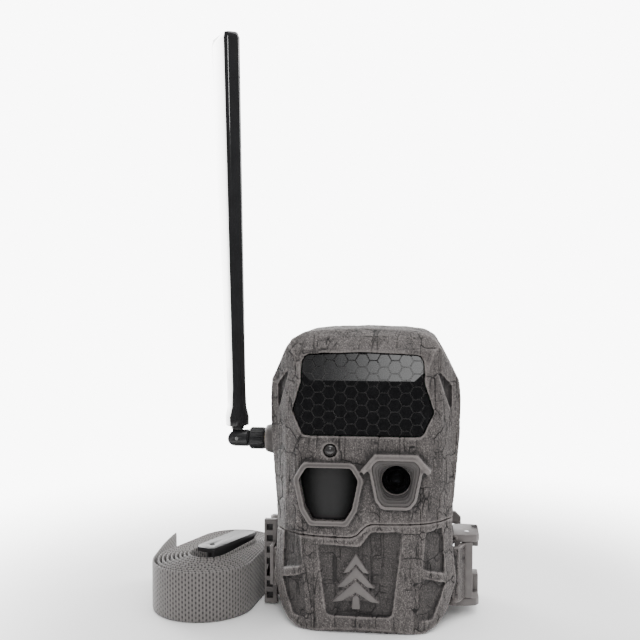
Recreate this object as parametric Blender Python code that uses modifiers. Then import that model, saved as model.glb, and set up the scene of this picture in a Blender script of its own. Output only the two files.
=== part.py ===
"""Trail camera on its own base, with a folding antenna and its wound mounting strap beside it.

Sizes are in millimetres and are turned into metres as each mesh is made. +X is the viewer's right,
-Y is the way the lens looks and +Z is up. The origin is on the ground, under the middle of the base.
"""

import math

import bmesh
import bpy
from mathutils import Matrix, Vector

MM = 0.001

# Housing
WALL = 2.5
SEAM = 0.2
GAP = 0.3
PART_Y = -8.0
BACK_Y = 32.0
HEIGHT = 147.0
HALF_OUTLINE = [
    (0, HEIGHT), (20, 146.4), (30, 145.2), (35.5, 142), (39, 136.5), (47.2, 121), (48, 112),
    (47.6, 94), (45.8, 74), (44.4, 60), (43.8, 48), (44.4, 36), (46.2, 21), (41.5, 8.5), (36.5, 2.8), (30, 0),
]
HALF_PLAN = [
    (0, -35.2), (12, -34.8), (24, -33.5), (32, -30.6), (38.5, -25), (44, -16.5), (48.5, -12),
    (46.5, 0), (45, 14), (41, 27), (34, BACK_Y), (0, BACK_Y),
]
SIDE = [
    (34, 0), (-33, 0), (-35.4, 2.5), (-36, 8), (-36, 40), (-35, 62), (-33.4, 100), (-31.4, 126),
    (-28, 137), (-22, 143.6), (-14, 148), (34, 148),
]
SPLIT = [(-60, 45.6), (-36, 46.6), (-5.5, 46.6), (-2.5, 47.6), (2, 52.2), (5, 53.4), (60, 53.4)]

# Windows and openings in the front
IR_WINDOW = [(0, 135.8), (27.5, 134.7), (29.7, 131.5), (29.9, 121.5), (34.6, 107), (29, 95.5)]
IR_CREASE_Z = 122.5
PIR_X = -16.0
PIR_HALF = [(10.8, 80.4), (14.3, 74.5), (11.4, 60.7), (7.8, 54.8)]
PIR_FRAME = 2.6
LENS_X = 16.5
LENS_Z = 74.3
LENS_R = 7.0
BEZEL_HALF = [(9.5, 85.6), (12.9, 81.5), (9.6, 65.4), (6.6, 61.4)]
BROW_HALF = [(10.2, 87.6), (17, 79.6), (15.2, 77.6), (9.2, 84.6)]
STATUS_X = -15.4
STATUS_Z = 88.5
STATUS_R = 3.1
PANEL = [(-21.6, 43), (-0.6, 42.2), (4.6, 49.4), (19.8, 50), (14.6, 8.4), (-17, 8.4)]
PANEL_FLOOR_Y = -33.2
EMBLEM = [
    (0, 26), (6.4, 17.6), (3.2, 17.9), (9.2, 10.2), (5.6, 10.6), (11.6, 2.8), (1.7, 3.8), (1.9, 0),
    (-1.9, 0), (-1.7, 3.8), (-11.6, 2.8), (-5.6, 10.6), (-9.2, 10.2), (-3.2, 17.9), (-6.4, 17.6),
]
EMBLEM_PLACE = (-2.6, 12.4)
RAIL_POCKETS = [
    [(36.2, 127.5), (43.2, 119), (43.4, 105), (38.4, 120)],
    [(31, 49), (38.8, 50.4), (40.2, 27.4), (29.4, 31.6)],
    [(28.6, 27.4), (40.6, 22.4), (34.2, 6.4), (27.2, 6.4)],
]

# Door hinge on the right, latch on the left
HINGE = (51.8, 3.0)
HINGE_R = 2.6
HINGE_LOW, HINGE_HIGH = 8.6, 37.2
ARM_THICK = 3.7
HINGE_PIN_R = 1.2
LATCH = (-49.4, 13.5)
LATCH_LOW, LATCH_HIGH = 0.8, 45.2
LATCH_BARREL_LOW, LATCH_BARREL_HIGH = 5.2, 40.8
LATCH_WINDOWS = 7

# Antenna
JACK = (-68.0, 2.0, 88.0)
NUT_FAR, NUT_NEAR = -62.0, -53.3
NUT_R = 5.6
ANTENNA_LEAN = math.radians(1.66)
ANTENNA_BASE = 6.6
ANTENNA_TOP = 210.6
BLADE_TURN = math.radians(-57)

# Batteries and controls
CELL_R = 7.1
CELL_LENGTH = 49.2
CELL_PITCH = 14.6
CELL_Y = (-11.7, 2.9, 17.5)
CELL_Z = (17.4, 33.0)
TRAY_X = (-36.6, 18.4)
TRAY_Y = (-20.6, 26.4)
TRAY_Z = (9.6, 40.8)
TRAY_WALL = 1.4
CONTROL_X = (21.4, 37.8)
CONTROL_Z = (11.6, 48.0)
CONTROL_FACE = -10.4
CONTROL_COLUMN = 27.2
BUTTON_Z = (33.6, 25.2, 16.8)
CARD_X = 35.2
CARD_Z = (20.4, 44.4)

# Strap
STRAP_WIDTH = 25.4
STRAP_THICK = 1.4
COIL_FRONT = (-84.6, -3.8, 26.2)
COIL_BACK = (-76.0, 31.0, 21.5)
BUCKLE = (-77.5, 15.0)
BUCKLE_TURN = math.radians(66)
BUCKLE_HALF = 20.0
BUCKLE_DEPTH = 12.0
BUCKLE_LOW, BUCKLE_HIGH = 0.4, 30.0

COLOURS = {
    "camo_shell": ((0.20, 0.18, 0.165), 0.75, 0.0),
    "taupe_plastic": ((0.26, 0.235, 0.22), 0.6, 0.0),
    "dark_window": ((0.01, 0.01, 0.011), 0.12, 0.0),
    "fresnel_lens": ((0.025, 0.025, 0.026), 0.45, 0.0),
    "clear_glass": ((0.02, 0.02, 0.025), 0.05, 0.0),
    "black_plastic": ((0.015, 0.015, 0.016), 0.4, 0.0),
    "circuit_board": ((0.02, 0.12, 0.05), 0.5, 0.0),
    "steel": ((0.55, 0.55, 0.56), 0.3, 1.0),
    "brass": ((0.6, 0.45, 0.2), 0.3, 1.0),
    "rubber": ((0.02, 0.02, 0.02), 0.8, 0.0),
    "battery_wrap": ((0.05, 0.05, 0.055), 0.35, 0.0),
    "webbing": ((0.27, 0.25, 0.235), 0.9, 0.0),
}


def collection(name):
    made = bpy.data.collections.new(name)
    bpy.context.scene.collection.children.link(made)
    return made


def material(name):
    if name in bpy.data.materials:
        return bpy.data.materials[name]
    colour, roughness, metallic = COLOURS[name]
    made = bpy.data.materials.new(name)
    made.use_nodes = True
    shader = made.node_tree.nodes["Principled BSDF"]
    shader.inputs["Base Color"].default_value = (*colour, 1)
    shader.inputs["Roughness"].default_value = roughness
    shader.inputs["Metallic"].default_value = metallic
    return made


def mirrored(half):
    """A closed outline from its right half, which runs from top to bottom."""
    left = [(-x, z) for x, z in reversed(half) if x > 0]
    return list(half) + left


def shifted(points, x):
    return [(px + x, pz) for px, pz in points]


def inset(points, distance):
    """A closed outline drawn in by distance on every side."""
    area = sum(a[0] * b[1] - b[0] * a[1] for a, b in zip(points, points[1:] + points[:1]))
    turn = 1 if area > 0 else -1
    made = []
    for before, here, after in zip(points[-1:] + points[:-1], points, points[1:] + points[:1]):
        first = (Vector(here) - Vector(before)).normalized()
        second = (Vector(after) - Vector(here)).normalized()
        normal = Vector((-first.y - second.y, first.x + second.x)) * turn
        made.append(tuple(Vector(here) + normal * (2 * distance / normal.length_squared)))
    return made


def rounded(points, radius, steps=3):
    """A closed outline with its corners rounded off, less where its sides are short."""
    made = []
    for before, here, after in zip(points[-1:] + points[:-1], points, points[1:] + points[:1]):
        here = Vector(here)
        back, ahead = Vector(before) - here, Vector(after) - here
        half = back.angle(ahead) / 2
        reach = min(radius / math.tan(half), 0.45 * back.length, 0.45 * ahead.length)
        if half > math.radians(84):
            made.append(tuple(here))
            continue
        first, last = here + back.normalized() * reach, here + ahead.normalized() * reach
        for i in range(steps + 1):
            t = i / steps
            made.append(tuple(first * (1 - t) ** 2 + here * (2 * t * (1 - t)) + last * t ** 2))
    return made


def arc(centre, radius, start, end, steps):
    """Points on a circle, from the start angle to the end angle in degrees, both ends included."""
    angles = [math.radians(start + (end - start) * i / steps) for i in range(steps + 1)]
    return [(centre[0] + radius * math.cos(a), centre[1] + radius * math.sin(a)) for a in angles]


def finish(name, mesh, slot, place=None):
    """Links a mesh made in millimetres as a part, or as a cutter when it has no slot."""
    mesh.transform(Matrix.Scale(MM, 4))
    obj = bpy.data.objects.new(name, mesh)
    if slot:
        mesh.materials.clear()
        mesh.materials.append(material(slot))
        PARTS.objects.link(obj)
    else:
        obj.hide_render = True
        obj.display_type = "WIRE"
        CUTTERS.objects.link(obj)
    if place:
        obj.location = place
    return obj


def plate(name, outline, axis, low, high, slot=None):
    """A flat outline given thickness from low to high along X, Y or Z."""
    curve = bpy.data.curves.new(name, "CURVE")
    curve.dimensions = "2D"
    curve.fill_mode = "BOTH"
    curve.extrude = (high - low) / 2
    spline = curve.splines.new("POLY")
    spline.points.add(len(outline) - 1)
    for point, (a, b) in zip(spline.points, outline):
        point.co = (a, b, 0, 1)
    spline.use_cyclic_u = True
    guide = bpy.data.objects.new(name + "_outline", curve)
    bpy.context.scene.collection.objects.link(guide)
    mesh = bpy.data.meshes.new_from_object(guide.evaluated_get(bpy.context.evaluated_depsgraph_get()))
    bpy.data.objects.remove(guide)
    turns = {
        "X": Matrix(((0, 0, 1), (1, 0, 0), (0, 1, 0))),
        "Y": Matrix(((1, 0, 0), (0, 0, -1), (0, 1, 0))),
        "Z": Matrix.Identity(3),
    }
    shift = Vector([(low + high) / 2 if letter == axis else 0 for letter in "XYZ"])
    mesh.transform(Matrix.Translation(shift) @ turns[axis].to_4x4())
    weld(mesh)
    return finish(name, mesh, slot)


def weld(mesh, distance=1e-4):
    body = bmesh.new()
    body.from_mesh(mesh)
    bmesh.ops.remove_doubles(body, verts=body.verts, dist=distance)
    bmesh.ops.recalc_face_normals(body, faces=body.faces)
    body.to_mesh(mesh)
    body.free()


def box(name, x, y, z, slot=None):
    body = bmesh.new()
    bmesh.ops.create_cube(body, size=1)
    size = Matrix.Diagonal((x[1] - x[0], y[1] - y[0], z[1] - z[0], 1))
    middle = Matrix.Translation(((x[0] + x[1]) / 2, (y[0] + y[1]) / 2, (z[0] + z[1]) / 2))
    bmesh.ops.transform(body, matrix=middle @ size, verts=body.verts)
    mesh = bpy.data.meshes.new(name)
    body.to_mesh(mesh)
    body.free()
    return finish(name, mesh, slot)


ALONG = {
    "X": Matrix.Rotation(math.pi / 2, 4, "Y"),
    "Y": Matrix.Rotation(-math.pi / 2, 4, "X"),
    "Z": Matrix.Identity(4),
}


def rod(name, axis, centre, radius, low, high, sides=24, slot=None, far_radius=None, turn=0.0):
    """A cylinder or cone along an axis, its centre given by its other two places in X, Y, Z order."""
    body = bmesh.new()
    bmesh.ops.create_cone(
        body, cap_ends=True, segments=sides, depth=high - low,
        radius1=radius, radius2=radius if far_radius is None else far_radius,
    )
    place = list(centre)
    place.insert("XYZ".index(axis), (low + high) / 2)
    matrix = Matrix.Translation(place) @ ALONG[axis] @ Matrix.Rotation(turn, 4, "Z")
    bmesh.ops.transform(body, matrix=matrix, verts=body.verts)
    mesh = bpy.data.meshes.new(name)
    body.to_mesh(mesh)
    body.free()
    return finish(name, mesh, slot)


def turned(name, profile, axis, centre, steps, slot=None):
    """A turned shape: its profile of (radius, height) runs top to bottom and starts and ends on the axis."""
    curve_mesh = bpy.data.meshes.new(name)
    points = [(r, 0, h) for r, h in profile]
    curve_mesh.from_pydata(points, [(i, i + 1) for i in range(len(points) - 1)], [])
    obj = bpy.data.objects.new(name, curve_mesh)
    bpy.context.scene.collection.objects.link(obj)
    screw = obj.modifiers.new("turn", "SCREW")
    screw.steps = screw.render_steps = steps
    screw.use_merge_vertices = True
    screw.merge_threshold = 1e-4
    mesh = evaluated_mesh(obj)
    bpy.data.objects.remove(obj)
    weld(mesh)
    place = list(centre)
    place.insert("XYZ".index(axis), 0)
    mesh.transform(Matrix.Translation(place) @ ALONG[axis])
    return finish(name, mesh, slot)


def evaluated_mesh(obj):
    bpy.context.view_layer.update()
    return bpy.data.meshes.new_from_object(obj.evaluated_get(bpy.context.evaluated_depsgraph_get()))


def boolean(obj, other, operation):
    step = obj.modifiers.new(other.name, "BOOLEAN")
    step.operation = operation
    step.solver = "EXACT"
    step.object = other
    return obj


def cut(obj, *others):
    for other in others:
        boolean(obj, other, "DIFFERENCE")
    return obj


def join(obj, *others):
    for other in others:
        boolean(obj, other, "UNION")
    return obj


def keep(obj, *others):
    for other in others:
        boolean(obj, other, "INTERSECT")
    return obj


def settled(obj, name, slot=None):
    """The object with its modifiers worked out, as a new object."""
    mesh = evaluated_mesh(obj)
    mesh.transform(obj.matrix_world)
    weld(mesh, 2e-6)
    made = bpy.data.objects.new(name, mesh)
    if slot:
        mesh.materials.clear()
        mesh.materials.append(material(slot))
        PARTS.objects.link(made)
    else:
        made.hide_render = True
        made.display_type = "WIRE"
        CUTTERS.objects.link(made)
    return made


def body_form(name, distance, side=None):
    """The outer form of the housing, drawn in by distance: where its front, plan and side outlines meet."""
    front = plate(name + "_front", inset(mirrored(HALF_OUTLINE), distance), "Y", -40, 40)
    plan = plate(name + "_plan", inset(mirrored(HALF_PLAN), distance), "Z", -5, 155)
    profile = plate(name + "_side", inset(side or SIDE, distance), "X", -55, 55)
    return settled(keep(front, plan, profile), name)


def below_split(name, lift):
    line = [(x, z + lift) for x, z in SPLIT]
    return plate(name, line + [(60, -10), (-60, -10)], "Y", -50, 50)


def above_split(name, lift):
    line = [(x, z + lift) for x, z in SPLIT]
    return plate(name, line + [(60, 170), (-60, 170)], "Y", -50, 50)


def make_shells():
    """The upper front housing, the door under it and the rear housing, all 2.5 mm thick."""
    outer = body_form("outer_form", 0)
    inner = body_form("inner_form", WALL)
    before = box("space_before_seam", (-70, 70), (-60, PART_Y - SEAM), (-10, 170))
    behind = box("space_behind_seam", (-70, 70), (PART_Y + SEAM, 60), (-10, 170))

    front_room = settled(inner, "front_room_form")
    front_room = settled(keep(front_room, above_split("over_floor", WALL + SEAM)), "front_room")
    door_room = body_form("door_room_form", WALL, [(y + 2.2 if y < 0 else y, z) for y, z in SIDE])
    door_room = settled(keep(door_room, below_split("under_lid", -WALL - SEAM)), "door_room")

    front = settled(outer, "front_form")
    keep(front, before, above_split("over_split", SEAM))
    join(front, *front_frames())
    cut(front, front_room)
    join(front, plate("lens_block", shifted(mirrored(BEZEL_HALF), LENS_X), "Y", -34, -27.4))
    cut(front, *front_openings(), *side_pockets(0))
    settled(front, "front_housing", "camo_shell")

    door = settled(outer, "door_form")
    keep(door, before, below_split("under_split", -SEAM))
    cut(door, door_room, plate("panel_recess", rounded(PANEL, 2.4, 2), "Y", -45, PANEL_FLOOR_Y))
    cut(door, *side_pockets(1), *side_pockets(2))
    emblem = [(x + EMBLEM_PLACE[0], z + EMBLEM_PLACE[1]) for x, z in EMBLEM]
    join(door, plate("emblem", emblem, "Y", PANEL_FLOOR_Y - 0.9, PANEL_FLOOR_Y + 0.8))
    join(door, *hinge_leaf(), *latch_lip())
    cut(door, rod("door_hinge_bore", "Z", HINGE, HINGE_PIN_R + 0.15, 0, 60, 16))
    settled(door, "lower_door", "camo_shell")

    rear = settled(outer, "rear_form")
    keep(rear, behind)
    cut(rear, inner)
    join(rear, *rear_shelf(), *hinge_arms(), *latch_ears(), antenna_boss(), *screw_bosses())
    cut(rear, *rear_holes())
    settled(rear, "rear_housing", "camo_shell")


def front_frames():
    """Raised frames on the front: round the motion sensor, round the lens, and the brow over it."""
    pir = mirrored(PIR_HALF)
    sensor = plate("sensor_frame", shifted(rounded(inset(pir, -PIR_FRAME), 3), PIR_X), "Y", -36.4, -28)
    surround = inset(mirrored(BEZEL_HALF), -0.4)
    lens = plate("lens_frame", shifted(rounded(surround, 3.4), LENS_X), "Y", -36.4, -26)
    brow = plate("lens_brow", shifted(mirrored_band(BROW_HALF), LENS_X), "Y", -36.9, -28)
    return sensor, lens, brow


def mirrored_band(half):
    """A band that crosses the middle line: its outer edge comes first, then its inner edge back."""
    count = len(half) // 2
    outer, inner = half[:count], half[count:]
    left_outer = [(-x, z) for x, z in reversed(outer)]
    left_inner = [(-x, z) for x, z in reversed(inner)]
    return left_outer + outer + inner + left_inner


def front_openings():
    """What is cut through the front: the flash window, motion sensor, lens steps and status light."""
    window = plate("window_opening", rounded(mirrored(IR_WINDOW), 3), "Y", -45, PART_Y - 6)
    sensor = plate("sensor_opening", shifted(rounded(mirrored(PIR_HALF), 1.6), PIR_X), "Y", -45, PART_Y - 6)
    outer, inner = inset(mirrored(BEZEL_HALF), 1.1), inset(mirrored(BEZEL_HALF), 3.2)
    first = plate("lens_step_1", shifted(rounded(outer, 3.2), LENS_X), "Y", -45, -33.2)
    second = plate("lens_step_2", shifted(rounded(inner, 4), LENS_X), "Y", -45, -31.2)
    lens = rod("lens_opening", "Y", (LENS_X, LENS_Z), LENS_R, -45, PART_Y - 6, 32)
    status = rod("status_opening", "Y", (STATUS_X, STATUS_Z), STATUS_R + 0.2, -45, PART_Y - 6, 20)
    return window, sensor, first, second, lens, status


def side_pockets(which):
    """Shallow pockets between the front and the side rails, one each side."""
    outline = RAIL_POCKETS[which]
    made = []
    for side in (1, -1):
        points = [(x * side, z) for x, z in outline]
        depth = pocket_floor(f"pocket_{which}_{side}_floor", side)
        prism = plate(f"pocket_{which}_{side}", points, "Y", -45, -10)
        made.append(settled(keep(prism, depth), f"pocket_{which}_{side}_cut"))
    return made


def pocket_floor(name, side):
    """The space in front of a slope about 1 mm inside the facet between the front face and the rail."""
    slope = [(20, -45), (24, -34.1), (31.6, -29.6), (37.7, -23.7), (43, -15), (47, -9), (60, -9), (60, -45)]
    return plate(name, [(x * side, y) for x, y in slope], "Z", -5, 155)


def hinge_leaf():
    """The door's hinge barrel, and the leaf that carries it past the rear housing's side."""
    barrel = rod("hinge_barrel", "Z", HINGE, HINGE_R, HINGE_LOW, HINGE_HIGH, 20)
    x, y = HINGE
    leaf_outline = [
        (43.8, -10.2), (44.4, -12.4), (47.6, -11.4), (x + 1.2, y - 1.6), (x - 1.4, y + 1.0), (46.6, -8.5),
    ]
    leaf = plate("hinge_leaf", leaf_outline, "Z", HINGE_LOW + 0.2, HINGE_HIGH - 0.2)
    return leaf, barrel


def latch_lip():
    """The lip on the door's left rail that the latch closes on."""
    return [box("latch_lip", (-46.6, -43.8), (-10.9, -8.9), (14, 34))]


def hinge_arms():
    """Two arms that hold the hinge pin, with the stop blocks behind them."""
    x, y = HINGE
    made = []
    for name, root, low, block_low, block_high in (
        ("lower", 37, HINGE_LOW - GAP - ARM_THICK, 4.6, 17.4),
        ("upper", 43, HINGE_HIGH + GAP, 32.2, 41.2),
    ):
        outline = [
            (root, -3), (46.6, -4.4), (48.6, -0.8), *arc(HINGE, 4.0, -120, 0, 6),
            (x + 4.6, 8), (58, 8.6), (58, 18), (50, 19), (root, 17),
        ]
        made.append(plate(f"{name}_hinge_arm", outline, "Z", low, low + ARM_THICK))
        made.append(box(f"{name}_stop_block", (54.4, 58.2), (9, 17.6), (block_low, block_high)))
    return made


def latch_ears():
    """Two ears on the left that hold the latch pin."""
    made = []
    for name, root, low, high in (
        ("lower", -36, 1.2, LATCH_BARREL_LOW - GAP),
        ("upper", -43, LATCH_BARREL_HIGH + GAP, 44.6),
    ):
        outline = [(root, 10.0), *reversed(arc(LATCH, 3.2, 90, 270, 8)), (root, 17.4)]
        made.append(plate(f"{name}_latch_ear", outline, "Z", low, high))
    return made


def antenna_boss():
    return rod("antenna_boss", "X", JACK[1:], 6.9, -52.8, -44, 24, far_radius=9.2)


def rear_shelf():
    """The shelf between the electronics bay and the battery bay, and the two walls of the control bay."""
    shelf = box("bay_shelf", (-42.8, 42.8), (PART_Y + 1.8, BACK_Y - 1.5), (50.6, 52.2))
    wall = box("bay_wall", (TRAY_X[1] + 0.6, TRAY_X[1] + 2.2), (PART_Y + 1.8, BACK_Y - 1.5), (1.5, 51))
    return shelf, wall


BRACKET_SCREWS = [(-28, 11), (28, 11), (-28, 37), (28, 37)]
HOUSING_SCREWS = [(-30, 62), (30, 62), (-27, 134), (27, 134)]
SCREW_HOLE_R = 1.5
PLUG = (25.6, 14.0)
TRIPOD_Z = 84.0


def screw_bosses():
    made = []
    for number, (x, z) in enumerate(HOUSING_SCREWS):
        made.append(rod(f"housing_boss_{number}", "Y", (x, z), 3.4, 20, BACK_Y - 1, 12))
    made.append(rod("tripod_boss", "Y", (0, TRIPOD_Z), 7.4, 19, BACK_Y + 2.6, 24))
    return made


def rear_holes():
    """Holes in the rear housing: pins, antenna jack, screws, tripod insert and power socket."""
    holes = [
        rod("hinge_arm_bore", "Z", HINGE, HINGE_PIN_R + 0.15, 0, 60, 16),
        rod("latch_ear_bore", "Z", LATCH, HINGE_PIN_R + 0.15, -1, 60, 16),
        rod("jack_bore", "X", JACK[1:], 3.3, -60, -40, 20),
        rod("tripod_bore", "Y", (0, TRIPOD_Z), 4.8, 22, 45, 20),
        rod("power_bore", "Z", PLUG, 4.6, -5, 8, 20),
    ]
    for number, (x, z) in enumerate(BRACKET_SCREWS + HOUSING_SCREWS):
        holes.append(rod(f"screw_bore_{number}", "Y", (x, z), SCREW_HOLE_R, 22.5, 45, 10))
    return holes


def make_front_parts():
    """Window, lenses and sensors that look out through the front housing."""
    crease = [
        (34, 0), (-33, 0), (-33, IR_CREASE_Z), (-27.6, 136), (-20, 148), (34, 148),
    ]
    skin = body_form("window_skin", 1.0, crease)
    core = body_form("window_core", 3.0, crease)
    pane = plate("window_pane", inset(rounded(mirrored(IR_WINDOW), 3), GAP), "Y", -40, -14)
    settled(cut(keep(pane, skin), core), "flash_window", "dark_window")

    make_flash_board()

    pir = inset(rounded(mirrored(PIR_HALF), 1.6), GAP)
    sensor = plate("sensor_pane", shifted(pir, PIR_X), "Y", -40, -14)
    dome_z = (50, 90)
    dome = rod("sensor_dome", "Z", (PIR_X, -8.6), 24, *dome_z, 48)
    hollow = rod("sensor_hollow", "Z", (PIR_X, -8.6), 22.8, dome_z[0] - 1, dome_z[1] + 1, 48)
    settled(cut(keep(sensor, dome), hollow), "motion_lens", "fresnel_lens")
    rod("motion_sensor", "Y", (PIR_X, 67), 4.6, -14, -8.6, 16, "steel")

    dome = [(0, 0), (1.3, -0.25), (2.4, -1.0), (STATUS_R, -2.4), (STATUS_R, -9), (0, -9)]
    turned("status_light", [(r, h) for r, h in dome], "Y", (STATUS_X, STATUS_Z), 16, "dark_window")
    shift_part("status_light", (0, -34.9, 0), flip=True)


def shift_part(name, offset, flip=False):
    """Moves a part's mesh by an offset in millimetres, after turning it to face -Y when asked."""
    mesh = bpy.data.objects[name].data
    turn = Matrix.Identity(4)
    if flip:
        box_middle = Vector([sum(v.co[i] for v in mesh.vertices) / len(mesh.vertices) for i in range(3)])
        pivot = Matrix.Translation((box_middle.x, 0, box_middle.z))
        turn = pivot @ Matrix.Rotation(math.pi, 4, "Z") @ pivot.inverted()
    mesh.transform(Matrix.Translation(Vector(offset) * MM) @ turn)


def make_flash_board():
    """The infrared lamps on their board: seven across and four high."""
    board = box("flash_board_form", (-26, 26), (-24.4, -22.8), (98, 132))
    for row in range(4):
        for column in range(7):
            centre = (-21 + 7 * column, 101.5 + 6.7 * row)
            lamp = rod(f"flash_lamp_{row}_{column}", "Y", centre, 2.4, -28.2, -24, 6)
            join(board, lamp)
    settled(board, "flash_board", "circuit_board")


def make_lens():
    """Cover glass, barrel with its front element, infrared filter and image board, on the lens axis."""
    centre = (LENS_X, LENS_Z)
    rod("lens_cover", "Y", centre, LENS_R - GAP, -30.6, -29.4, 32, "clear_glass")
    tube = rod("barrel_form", "Y", centre, 6.2, -28.6, -14.6, 28)
    join(tube, rod("barrel_collar", "Y", centre, 7.6, -20, -17, 28))
    cut(tube, rod("barrel_bore", "Y", centre, 4.4, -40, -5, 28))
    settled(tube, "lens_barrel", "black_plastic")
    profile = [(0, -3.2), (2.2, -3.0), (3.6, -2.3), (4.1, -1.6), (4.1, 1.2), (0, 1.2)]
    turned("front_element", list(reversed([(r, -h) for r, h in profile])), "Y", centre, 24, "clear_glass")
    shift_part("front_element", (0, -24.6, 0), flip=True)
    filter_x, filter_z = (LENS_X - 5.4, LENS_X + 5.4), (LENS_Z - 5.4, LENS_Z + 5.4)
    box("infrared_filter", filter_x, (-13.8, -12.8), filter_z, "clear_glass")
    board = box("image_board_form", (LENS_X - 11, LENS_X + 11), (-10.8, -9.4), (LENS_Z - 11, LENS_Z + 11))
    join(board, box("image_chip", (LENS_X - 4, LENS_X + 4), (-12.2, -10.6), (LENS_Z - 4, LENS_Z + 4)))
    settled(board, "image_board", "circuit_board")


def make_electronics():
    board = box("main_board_form", (-36, 36), (-6, -4.4), (56, 128))
    join(
        board,
        box("modem_can", (-30, -4), (-4.6, -1.4), (94, 122)),
        box("processor_can", (4, 26), (-4.6, -1.8), (70, 92)),
    )
    settled(board, "main_board", "circuit_board")


def make_batteries():
    """A magazine with six AA cells, three on top of its web and three under it, and a spring for each."""
    tray = box("tray_form", TRAY_X, TRAY_Y, TRAY_Z)
    inside_x = (TRAY_X[0] + TRAY_WALL, TRAY_X[1] - TRAY_WALL)
    inside_y = (TRAY_Y[0] + TRAY_WALL, TRAY_Y[1] - TRAY_WALL)
    web = ((CELL_Z[0] + CELL_Z[1]) / 2 - 0.6, (CELL_Z[0] + CELL_Z[1]) / 2 + 0.6)
    middle_x = (TRAY_X[0] + 7, TRAY_X[1] - 7)
    all_y = (TRAY_Y[0] - 1, TRAY_Y[1] + 1)
    cut(
        tray,
        box("tray_room_low", inside_x, inside_y, (0, web[0])),
        box("tray_room_high", inside_x, inside_y, (web[1], 60)),
        box("lip_cut_low", middle_x, all_y, (0, web[0] - 4)),
        box("lip_cut_high", middle_x, all_y, (web[1] + 4, 60)),
    )
    settled(tray, "battery_tray", "black_plastic")
    places = [(y, z) for z in CELL_Z for y in CELL_Y]
    for number, (y, z) in enumerate(places, 1):
        spring_left = number % 2 == 1
        low = inside_x[1] - 1.4 - CELL_LENGTH if spring_left else inside_x[0] + 1.4
        high = low + CELL_LENGTH
        nub = (high - 0.4, high + 1.2) if spring_left else (low - 1.2, low + 0.4)
        cell = rod(f"cell_form_{number}", "X", (y, z), CELL_R, low, high, 16)
        join(cell, rod(f"cell_nub_{number}", "X", (y, z), 2.7, *nub, 10))
        settled(cell, f"battery_{number}", "battery_wrap")
        room = (inside_x[0] + 0.2, low - 0.2) if spring_left else (high + 0.2, inside_x[1] - 0.2)
        contact_spring(f"contact_spring_{number}", (y, z), *room, spring_left)


def contact_spring(name, centre, low, high, wide_low):
    """A coil that touches its cell at one end and the tray's end wall at the other."""
    wire = 0.35
    turns, steps = 2, 12
    low, high = low + wire, high - wire
    curve = bpy.data.curves.new(name, "CURVE")
    curve.dimensions = "3D"
    curve.bevel_depth = wire
    curve.bevel_resolution = 0
    curve.use_fill_caps = True
    spline = curve.splines.new("POLY")
    spline.points.add(turns * steps)
    for i, point in enumerate(spline.points):
        share = i / (turns * steps)
        grow = 1 - share if wide_low else share
        radius = 2.4 + 2.2 * grow
        angle = 2 * math.pi * turns * share
        y = centre[0] + radius * math.cos(angle)
        z = centre[1] + radius * math.sin(angle)
        point.co = (low + (high - low) * share, y, z, 1)
    guide = bpy.data.objects.new(name + "_line", curve)
    bpy.context.scene.collection.objects.link(guide)
    mesh = evaluated_mesh(guide)
    bpy.data.objects.remove(guide)
    weld(mesh)
    finish(name, mesh, "steel")


def make_controls():
    """The control panel beside the batteries, with its switch, three buttons and memory card."""
    face, x = CONTROL_FACE, CONTROL_COLUMN
    panel = box("control_form", CONTROL_X, (face, 24), CONTROL_Z)
    card_x = (CARD_X - 1.35, CARD_X + 1.35)
    card_z = (CARD_Z[0] - 0.3, CARD_Z[1] + 0.3)
    cut(
        panel,
        box("switch_slot", (x - 4.8, x + 4.8), (face - 1, face + 3), (39.8, 44.6)),
        box("card_slot", card_x, (face - 1, face + 32.4), card_z),
    )
    for number, z in enumerate(BUTTON_Z, 1):
        cut(panel, rod(f"button_well_{number}", "Y", (x, z), 2.7, face - 1, face + 3, 16))
        rod(f"setup_button_{number}", "Y", (x, z), 2.4, face - 1.2, face + 1.8, 16, "taupe_plastic")
    settled(panel, "control_panel", "black_plastic")
    knob = box("switch_form", (x - 1.7, x + 1.7), (face - 1.8, face + 1), (40.2, 44.2))
    join(knob, box("switch_foot", (x - 2.2, x + 2.2), (face + 0.6, face + 2.6), (40.2, 44.2)))
    settled(knob, "mode_switch", "taupe_plastic")
    box("memory_card", (CARD_X - 1.05, CARD_X + 1.05), (face - 2.0, face + 30), CARD_Z, "black_plastic")


def make_seals():
    """The door's seal, which sits in the rear housing's mouth, and the rubber plug under the power socket."""
    ring_outer = inset(mirrored(HALF_OUTLINE), WALL + GAP)
    form = plate("seal_form", ring_outer, "Y", PART_Y - 1.2, PART_Y + 1.4)
    plan = plate("seal_plan", inset(mirrored(HALF_PLAN), WALL + GAP), "Z", -5, 155)
    keep(form, below_split("seal_top", -4.0), plan)
    hole = plate("seal_hole_form", inset(ring_outer, 1.2), "Y", PART_Y - 3, PART_Y + 3)
    plan = plate("seal_hole_plan", inset(mirrored(HALF_PLAN), WALL + GAP + 1.2), "Z", -5, 155)
    keep(hole, below_split("seal_hole_top", -5.2), plan)
    settled(cut(form, settled(hole, "seal_hole")), "door_seal", "rubber")
    plug = rod("plug_form", "Z", PLUG, 4.3, 0.5, 3.4, 20)
    join(plug, rod("plug_tab", "Z", PLUG, 3.2, 3.0, 5.4, 16))
    settled(plug, "power_plug", "rubber")


def make_pins():
    reach = GAP + ARM_THICK + 0.4
    rod("hinge_pin", "Z", HINGE, HINGE_PIN_R, HINGE_LOW - reach, HINGE_HIGH + reach, 16, "steel")
    rod("latch_pin", "Z", LATCH, HINGE_PIN_R, 1.0, 44.9, 16, "steel")


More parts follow.
